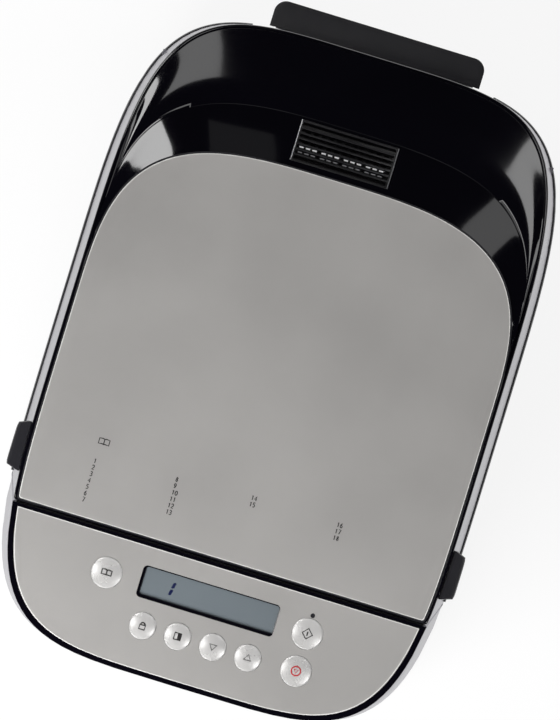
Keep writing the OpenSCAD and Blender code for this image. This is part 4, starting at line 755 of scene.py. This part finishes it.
# Each mark round its key's centre: kind, points and width of the line
MARKS = {
    "menu_key": [("line", line, LINE) for line in book(5.6)],
    "start_key": [("loop", [(0, 3.0), (3.0, 0), (0, -3.0), (-3.0, 0)], LINE),
                  ("line", [(0, -1.2), (0, 1.2)], LINE)],
    "stop_key": [("loop", arc(2.6, 32), LINE),
                 ("loop", [(-1.25, 0.7), (1.25, 0.7), (0, -1.35)], THIN_LINE)],
    "timer_key": [("loop", rectangle(-1.6, -2.1, 1.6, 0.4), LINE),
                  ("line", moved(arc(1.2, 16, 0, 180), 0, 0.6), LINE)],
    "crust_key": [("loop", rectangle(-1.9, -1.9, 1.9, 1.9), LINE),
                  ("patch", rectangle(0, -1.9, 1.9, 1.9), None)],
    "down_key": [("loop", [(-2.0, 1.4), (2.0, 1.4), (0, -1.9)], LINE)],
    "up_key": [("loop", [(-2.0, -1.4), (2.0, -1.4), (0, 1.9)], LINE)],
}


def key_centre(node):
    """Middle of a key and the radius of its dome; the flange lies below the panel."""
    lo, hi = box_mm(node)
    return (lo[0] + hi[0]) / 2, (lo[1] + hi[1]) / 2, (hi[0] - lo[0]) / 2 - KEY_FLANGE


def dome(cx, cy, r, lift):
    """Height of a key's dome, plus a lift, as a function of x and y."""
    rise = key_top - key_edge_z
    ball_r = (r * r + rise * rise) / (2 * rise)

    def height(x, y):
        d2 = (x - cx) ** 2 + (y - cy) ** 2
        return key_top - ball_r + math.sqrt(max(0.0, ball_r * ball_r - d2)) + lift
    return height


def key_mark(node):
    cx, cy, r = key_centre(node)
    height = dome(cx, cy, r, MARK_LIFT)
    bm = bmesh.new()
    for kind, pts, width in MARKS[node]:
        if kind == "patch":
            fill(bm, moved(pts, cx, cy), height)
        else:
            stroke(bm, moved(pts, cx, cy), width, height, closed=kind == "loop")
    finish = "icon_red" if node == "stop_key" else "icon_dark"
    add_piece(node.replace("_key", "_mark"), bm, node.replace("_key", "_button"), "matte_black", finish)


def key_rim(node):
    """The key's turned edge, which nearly closes the gap in the panel."""
    cx, cy, r = key_centre(node)
    inner_r, neck_r, outer_r = r - 0.75, r + 0.02, r + 0.25
    inner_z = dome(cx, cy, r, HAIR)(cx + inner_r, cy)
    profile = [(inner_r, inner_z), (neck_r, key_edge_z + 0.03), (r + 0.16, plate_z + HAIR),
               (outer_r, plate_z - 0.15), (outer_r, plate_z - 0.6), (neck_r, plate_z - 0.6)]
    bm = bmesh.new()
    loft(bm, [raised(moved(arc(ring_r, RIM_STEPS), cx, cy), z) for ring_r, z in profile])
    smooth(add_piece(node.replace("_key", "_rim"), bm, node.replace("_key", "_button"), "key_silver"))


for node in MARKS:
    key_mark(node)
for node in MARKS:
    key_rim(node)

# ---------------------------------------------------------------- display: dark surround and the figure one
SURROUND_OUT = 0.15
SURROUND_SINK, SURROUND_STEP_SINK = 0.12, 0.3
DIGIT_LEFT, DIGIT_UP = 21.2, 0.4
DIGIT_REACH, DIGIT_GAP, DIGIT_LEAN = 3.7, 0.35, 0.17
BAR_HALF, BAR_LEFT_TIP, BAR_RIGHT_TIP, BAR_THICK = 0.85, 0.3, 0.35, 0.04

wx0, wy0, wz = window_lo[0], window_lo[1], window_hi[2]
wx1, wy1 = window_hi[0], window_hi[1]


def display_surround():
    """Slopes from the panel down to the window, and is widest at the left and in front."""
    outer = round_rect(wx0 - SURROUND_OUT, wy0 - SURROUND_OUT, wx1 + SURROUND_OUT, wy1 + SURROUND_OUT, 2.7)
    step = round_rect(wx0 + 1.5, wy0 + 1.7, wx1 - 0.55, wy1 - 0.5, 1.5)
    inner = round_rect(wx0 + 1.9, wy0 + 2.1, wx1 - 0.75, wy1 - 0.7, 1.3)
    bm = bmesh.new()
    loft(bm, [raised(outer, wz), raised(outer, plate_z - SURROUND_SINK),
              raised(step, plate_z - SURROUND_STEP_SINK), raised(inner, wz)])
    smooth(add_piece("display_surround", bm, "casing", "gloss_black"))


def display_digit():
    """The figure one: two leaning bars with pointed ends."""
    x, y = (wx0 + wx1) / 2 - DIGIT_LEFT, (wy0 + wy1) / 2 + DIGIT_UP
    bm = bmesh.new()
    for y0, y1 in ((DIGIT_GAP, DIGIT_REACH), (-DIGIT_REACH, -DIGIT_GAP)):
        x0, x1 = y0 * DIGIT_LEAN, y1 * DIGIT_LEAN
        bar = [(x0 - BAR_HALF, y0 + BAR_LEFT_TIP), (x0, y0), (x0 + BAR_HALF, y0 + BAR_RIGHT_TIP),
               (x1 + BAR_HALF, y1 - BAR_RIGHT_TIP), (x1, y1), (x1 - BAR_HALF, y1 - BAR_LEFT_TIP)]
        fill(bm, moved(bar, x, y), level(wz + HAIR), BAR_THICK)
    add_piece("display_digit", bm, "casing", "display_grey", finish="digit_navy")


display_surround()
display_digit()

# ---------------------------------------------------------------- ribs between the vent's bars, with painted highlights
RIB_GROUPS, RIBS_IN_GROUP = 4, 3
RIB_FIRST_X, GROUP_PITCH, RIB_PITCH, RIB_LONG = -24.3, 13.0, 3.8, 2.5
RIB_HEIGHTS = (-1.5, -0.8)
HAIRLINE_WIDE, HAIRLINE_LONG = 0.4, 24.4
HAIRLINE_HEIGHTS = (0.1, 0.23)


def vent_bar(bm, x, y, wide, deep, heights):
    """A bar round x and y, in the vent's own axes."""
    corners = rectangle(x - wide / 2, y - deep / 2, x + wide / 2, y + deep / 2)
    solid(bm, *([vent_place @ metres(px, py, z) for px, py in corners] for z in heights))


def vent_row(name, finish, row_y, deep, hairline_x):
    """One row of ribs in groups and the hairline at one end of the vent, in a light finish that paints their
    highlights.
    """
    bm = bmesh.new()
    for group in range(RIB_GROUPS):
        for k in range(RIBS_IN_GROUP):
            x = RIB_FIRST_X + group * GROUP_PITCH + k * RIB_PITCH
            vent_bar(bm, x, row_y, RIB_LONG, deep, RIB_HEIGHTS)
    vent_bar(bm, hairline_x, 0, HAIRLINE_WIDE, HAIRLINE_LONG, HAIRLINE_HEIGHTS)
    add_piece(name, bm, "lid", "pulley_plastic", finish)


# Painted highlights: the first row and the left hairline brighter, the second row and the right hairline dimmer
vent_row("vent_rib_highlights", "vent_highlight_bright", -3.17, 0.8, -28.2)
vent_row("vent_rib_highlights_low", "vent_highlight_dim", -6.34, 0.6, 28.2)

# ---------------------------------------------------------------- floor
FLOOR_REACH_M, FLOOR_Z_M = 12.0, -0.0005
FLOOR_WHITE_SHARE = 0.88


def whiten(m, share):
    """Mixes white into a material for camera, glossy and transmission rays; shadows still show."""
    nt = m.node_tree
    lit = next(n for n in nt.nodes if n.type == "BSDF_PRINCIPLED")
    out = next(n for n in nt.nodes if n.type == "OUTPUT_MATERIAL")
    path = nt.nodes.new("ShaderNodeLightPath")
    seen_ray = path.outputs["Is Camera Ray"]
    for ray in ("Is Glossy Ray", "Is Transmission Ray"):
        either = nt.nodes.new("ShaderNodeMath")
        either.operation = "MAXIMUM"
        nt.links.new(seen_ray, either.inputs[0])
        nt.links.new(path.outputs[ray], either.inputs[1])
        seen_ray = either.outputs[0]
    amount = nt.nodes.new("ShaderNodeMath")
    amount.operation = "MULTIPLY"
    amount.inputs[1].default_value = share
    nt.links.new(seen_ray, amount.inputs[0])
    white = nt.nodes.new("ShaderNodeEmission")
    white.inputs["Color"].default_value = (1, 1, 1, 1)
    white.inputs["Strength"].default_value = 1.0
    blend = nt.nodes.new("ShaderNodeMixShader")
    nt.links.new(amount.outputs[0], blend.inputs["Fac"])
    nt.links.new(lit.outputs[0], blend.inputs[1])
    nt.links.new(white.outputs[0], blend.inputs[2])
    nt.links.new(blend.outputs[0], out.inputs[0])


def pale_floor():
    me = bpy.data.meshes.new("floor")
    bm = bmesh.new()
    bmesh.ops.create_grid(bm, x_segments=2, y_segments=2, size=FLOOR_REACH_M)
    bm.to_mesh(me)
    bm.free()
    ob = bpy.data.objects.new("floor", me)
    ob.location = (0, 0, FLOOR_Z_M)
    bpy.context.scene.collection.objects.link(ob)
    floor_white = material("floor_white", (0.90, 0.90, 0.90), 0.9, vary=0.004, scale=3, spec=0.0)
    whiten(floor_white, FLOOR_WHITE_SHARE)
    me.materials.append(floor_white)
    return ob


floor = pale_floor()

# ---------------------------------------------------------------- world: pale at the horizon, dark overhead
WORLD_STRENGTH = 0.8
HORIZON_COLOR = (0.85, 0.85, 0.88, 1)
OVERHEAD_COLOR, OVERHEAD_START = (0.02, 0.02, 0.022, 1), 0.62


def studio_world():
    world = bpy.data.worlds.new("studio")
    bpy.context.scene.world = world
    world.use_nodes = True
    nt = world.node_tree
    nt.nodes.clear()
    out = nt.nodes.new("ShaderNodeOutputWorld")
    background = nt.nodes.new("ShaderNodeBackground")
    direction = nt.nodes.new("ShaderNodeTexCoord")
    split = nt.nodes.new("ShaderNodeSeparateXYZ")
    ramp = nt.nodes.new("ShaderNodeValToRGB")
    ramp.color_ramp.interpolation = "EASE"
    horizon, overhead = ramp.color_ramp.elements
    horizon.position = 0.0
    horizon.color = HORIZON_COLOR
    overhead.position = OVERHEAD_START
    overhead.color = OVERHEAD_COLOR
    nt.links.new(direction.outputs["Generated"], split.inputs[0])
    nt.links.new(split.outputs["Z"], ramp.inputs["Fac"])
    nt.links.new(ramp.outputs["Color"], background.inputs["Color"])
    background.inputs["Strength"].default_value = WORLD_STRENGTH
    nt.links.new(background.outputs[0], out.inputs[0])


studio_world()

# ---------------------------------------------------------------- lights
SOFTBOX_REACH_M = 2.0
SOFTBOX_AIM_Y = 60
softbox_middle = metres(0, SOFTBOX_AIM_Y, plate_z)


def area(name, loc, target, wide, power, glossy=True, tall=None):
    """A rectangular light in metres and watts, turned to its target."""
    light = bpy.data.lights.new(name, "AREA")
    light.shape = "RECTANGLE"
    light.size = wide
    light.size_y = tall or wide
    light.energy = power
    ob = bpy.data.objects.new(name, light)
    bpy.context.scene.collection.objects.link(ob)
    ob.location = loc
    ob.rotation_euler = (Vector(target) - Vector(loc)).to_track_quat("-Z", "Y").to_euler()
    ob.visible_glossy = glossy
    ob.visible_camera = False
    return ob


def softbox(name, azimuth, elevation, wide, tall, radiance):
    """A light that only glossy surfaces show, at a direction from the crown and of a size in degrees."""
    az, el = math.radians(azimuth), math.radians(elevation)
    aim = Vector((math.cos(el) * math.cos(az), math.cos(el) * math.sin(az), math.sin(el)))
    w, h = (2 * SOFTBOX_REACH_M * math.tan(math.radians(v / 2)) for v in (wide, tall))
    loc = softbox_middle + SOFTBOX_REACH_M * aim
    ob = area(name, loc, softbox_middle, w, radiance * math.pi * w * h, tall=h)
    ob.visible_diffuse = False


area("fill_over", (0.0, 0.0, 2.6), (0, 0, 0.2), 2.2, 14, glossy=False)
area("fill_front", (-0.18, -0.60, 0.72), (0, -0.1, 0.34), 0.4, 9.6, glossy=False)
area("box_left", (-1.15, 0.75, 1.05), (0, 0.05, 0.33), 0.55, 5, tall=0.8)
area("box_right", (1.25, 0.55, 0.95), (0, 0.05, 0.33), 0.35, 3.2, tall=0.9)
softbox("glow_platform_left", 138, 57, 14, 7, 8.6)
softbox("glow_platform_middle", 102, 57, 8, 7, 0.15)
softbox("glow_corner_left", 109.5, 64, 6, 8, 2.2)
softbox("glow_corner_right", 57.5, 66, 13, 6, 4.0)
softbox("glow_platform_right", 60, 56, 10, 9, 1.3)
softbox("glow_side", 192, 65, 18, 14, 4.0)
softbox("glow_keys", 325, 60, 14, 10, 6.0)

# ---------------------------------------------------------------- camera, straight above
LENS, SENSOR = 900.0, 36.0
# What the picture's longer side spans at the height of the plate
VIEW_SPAN_M = 402.5 * MM
CAMERA_X_M, CAMERA_Y_M = -0.001, -0.00107
# The machine stands turned by 17 degrees in the picture
TURN = math.atan2(0.292, 0.956)


def overhead_camera():
    data = bpy.data.cameras.new("camera")
    data.lens = LENS
    data.sensor_width = SENSOR
    data.clip_start = 0.1
    data.clip_end = 60
    ob = bpy.data.objects.new("camera", data)
    bpy.context.scene.collection.objects.link(ob)
    ob.location = (CAMERA_X_M, CAMERA_Y_M, plate_z * MM + VIEW_SPAN_M * LENS / SENSOR)
    ob.rotation_euler = (0, 0, TURN)
    bpy.context.scene.camera = ob


overhead_camera()
bpy.context.scene.view_settings.view_transform = "Standard"
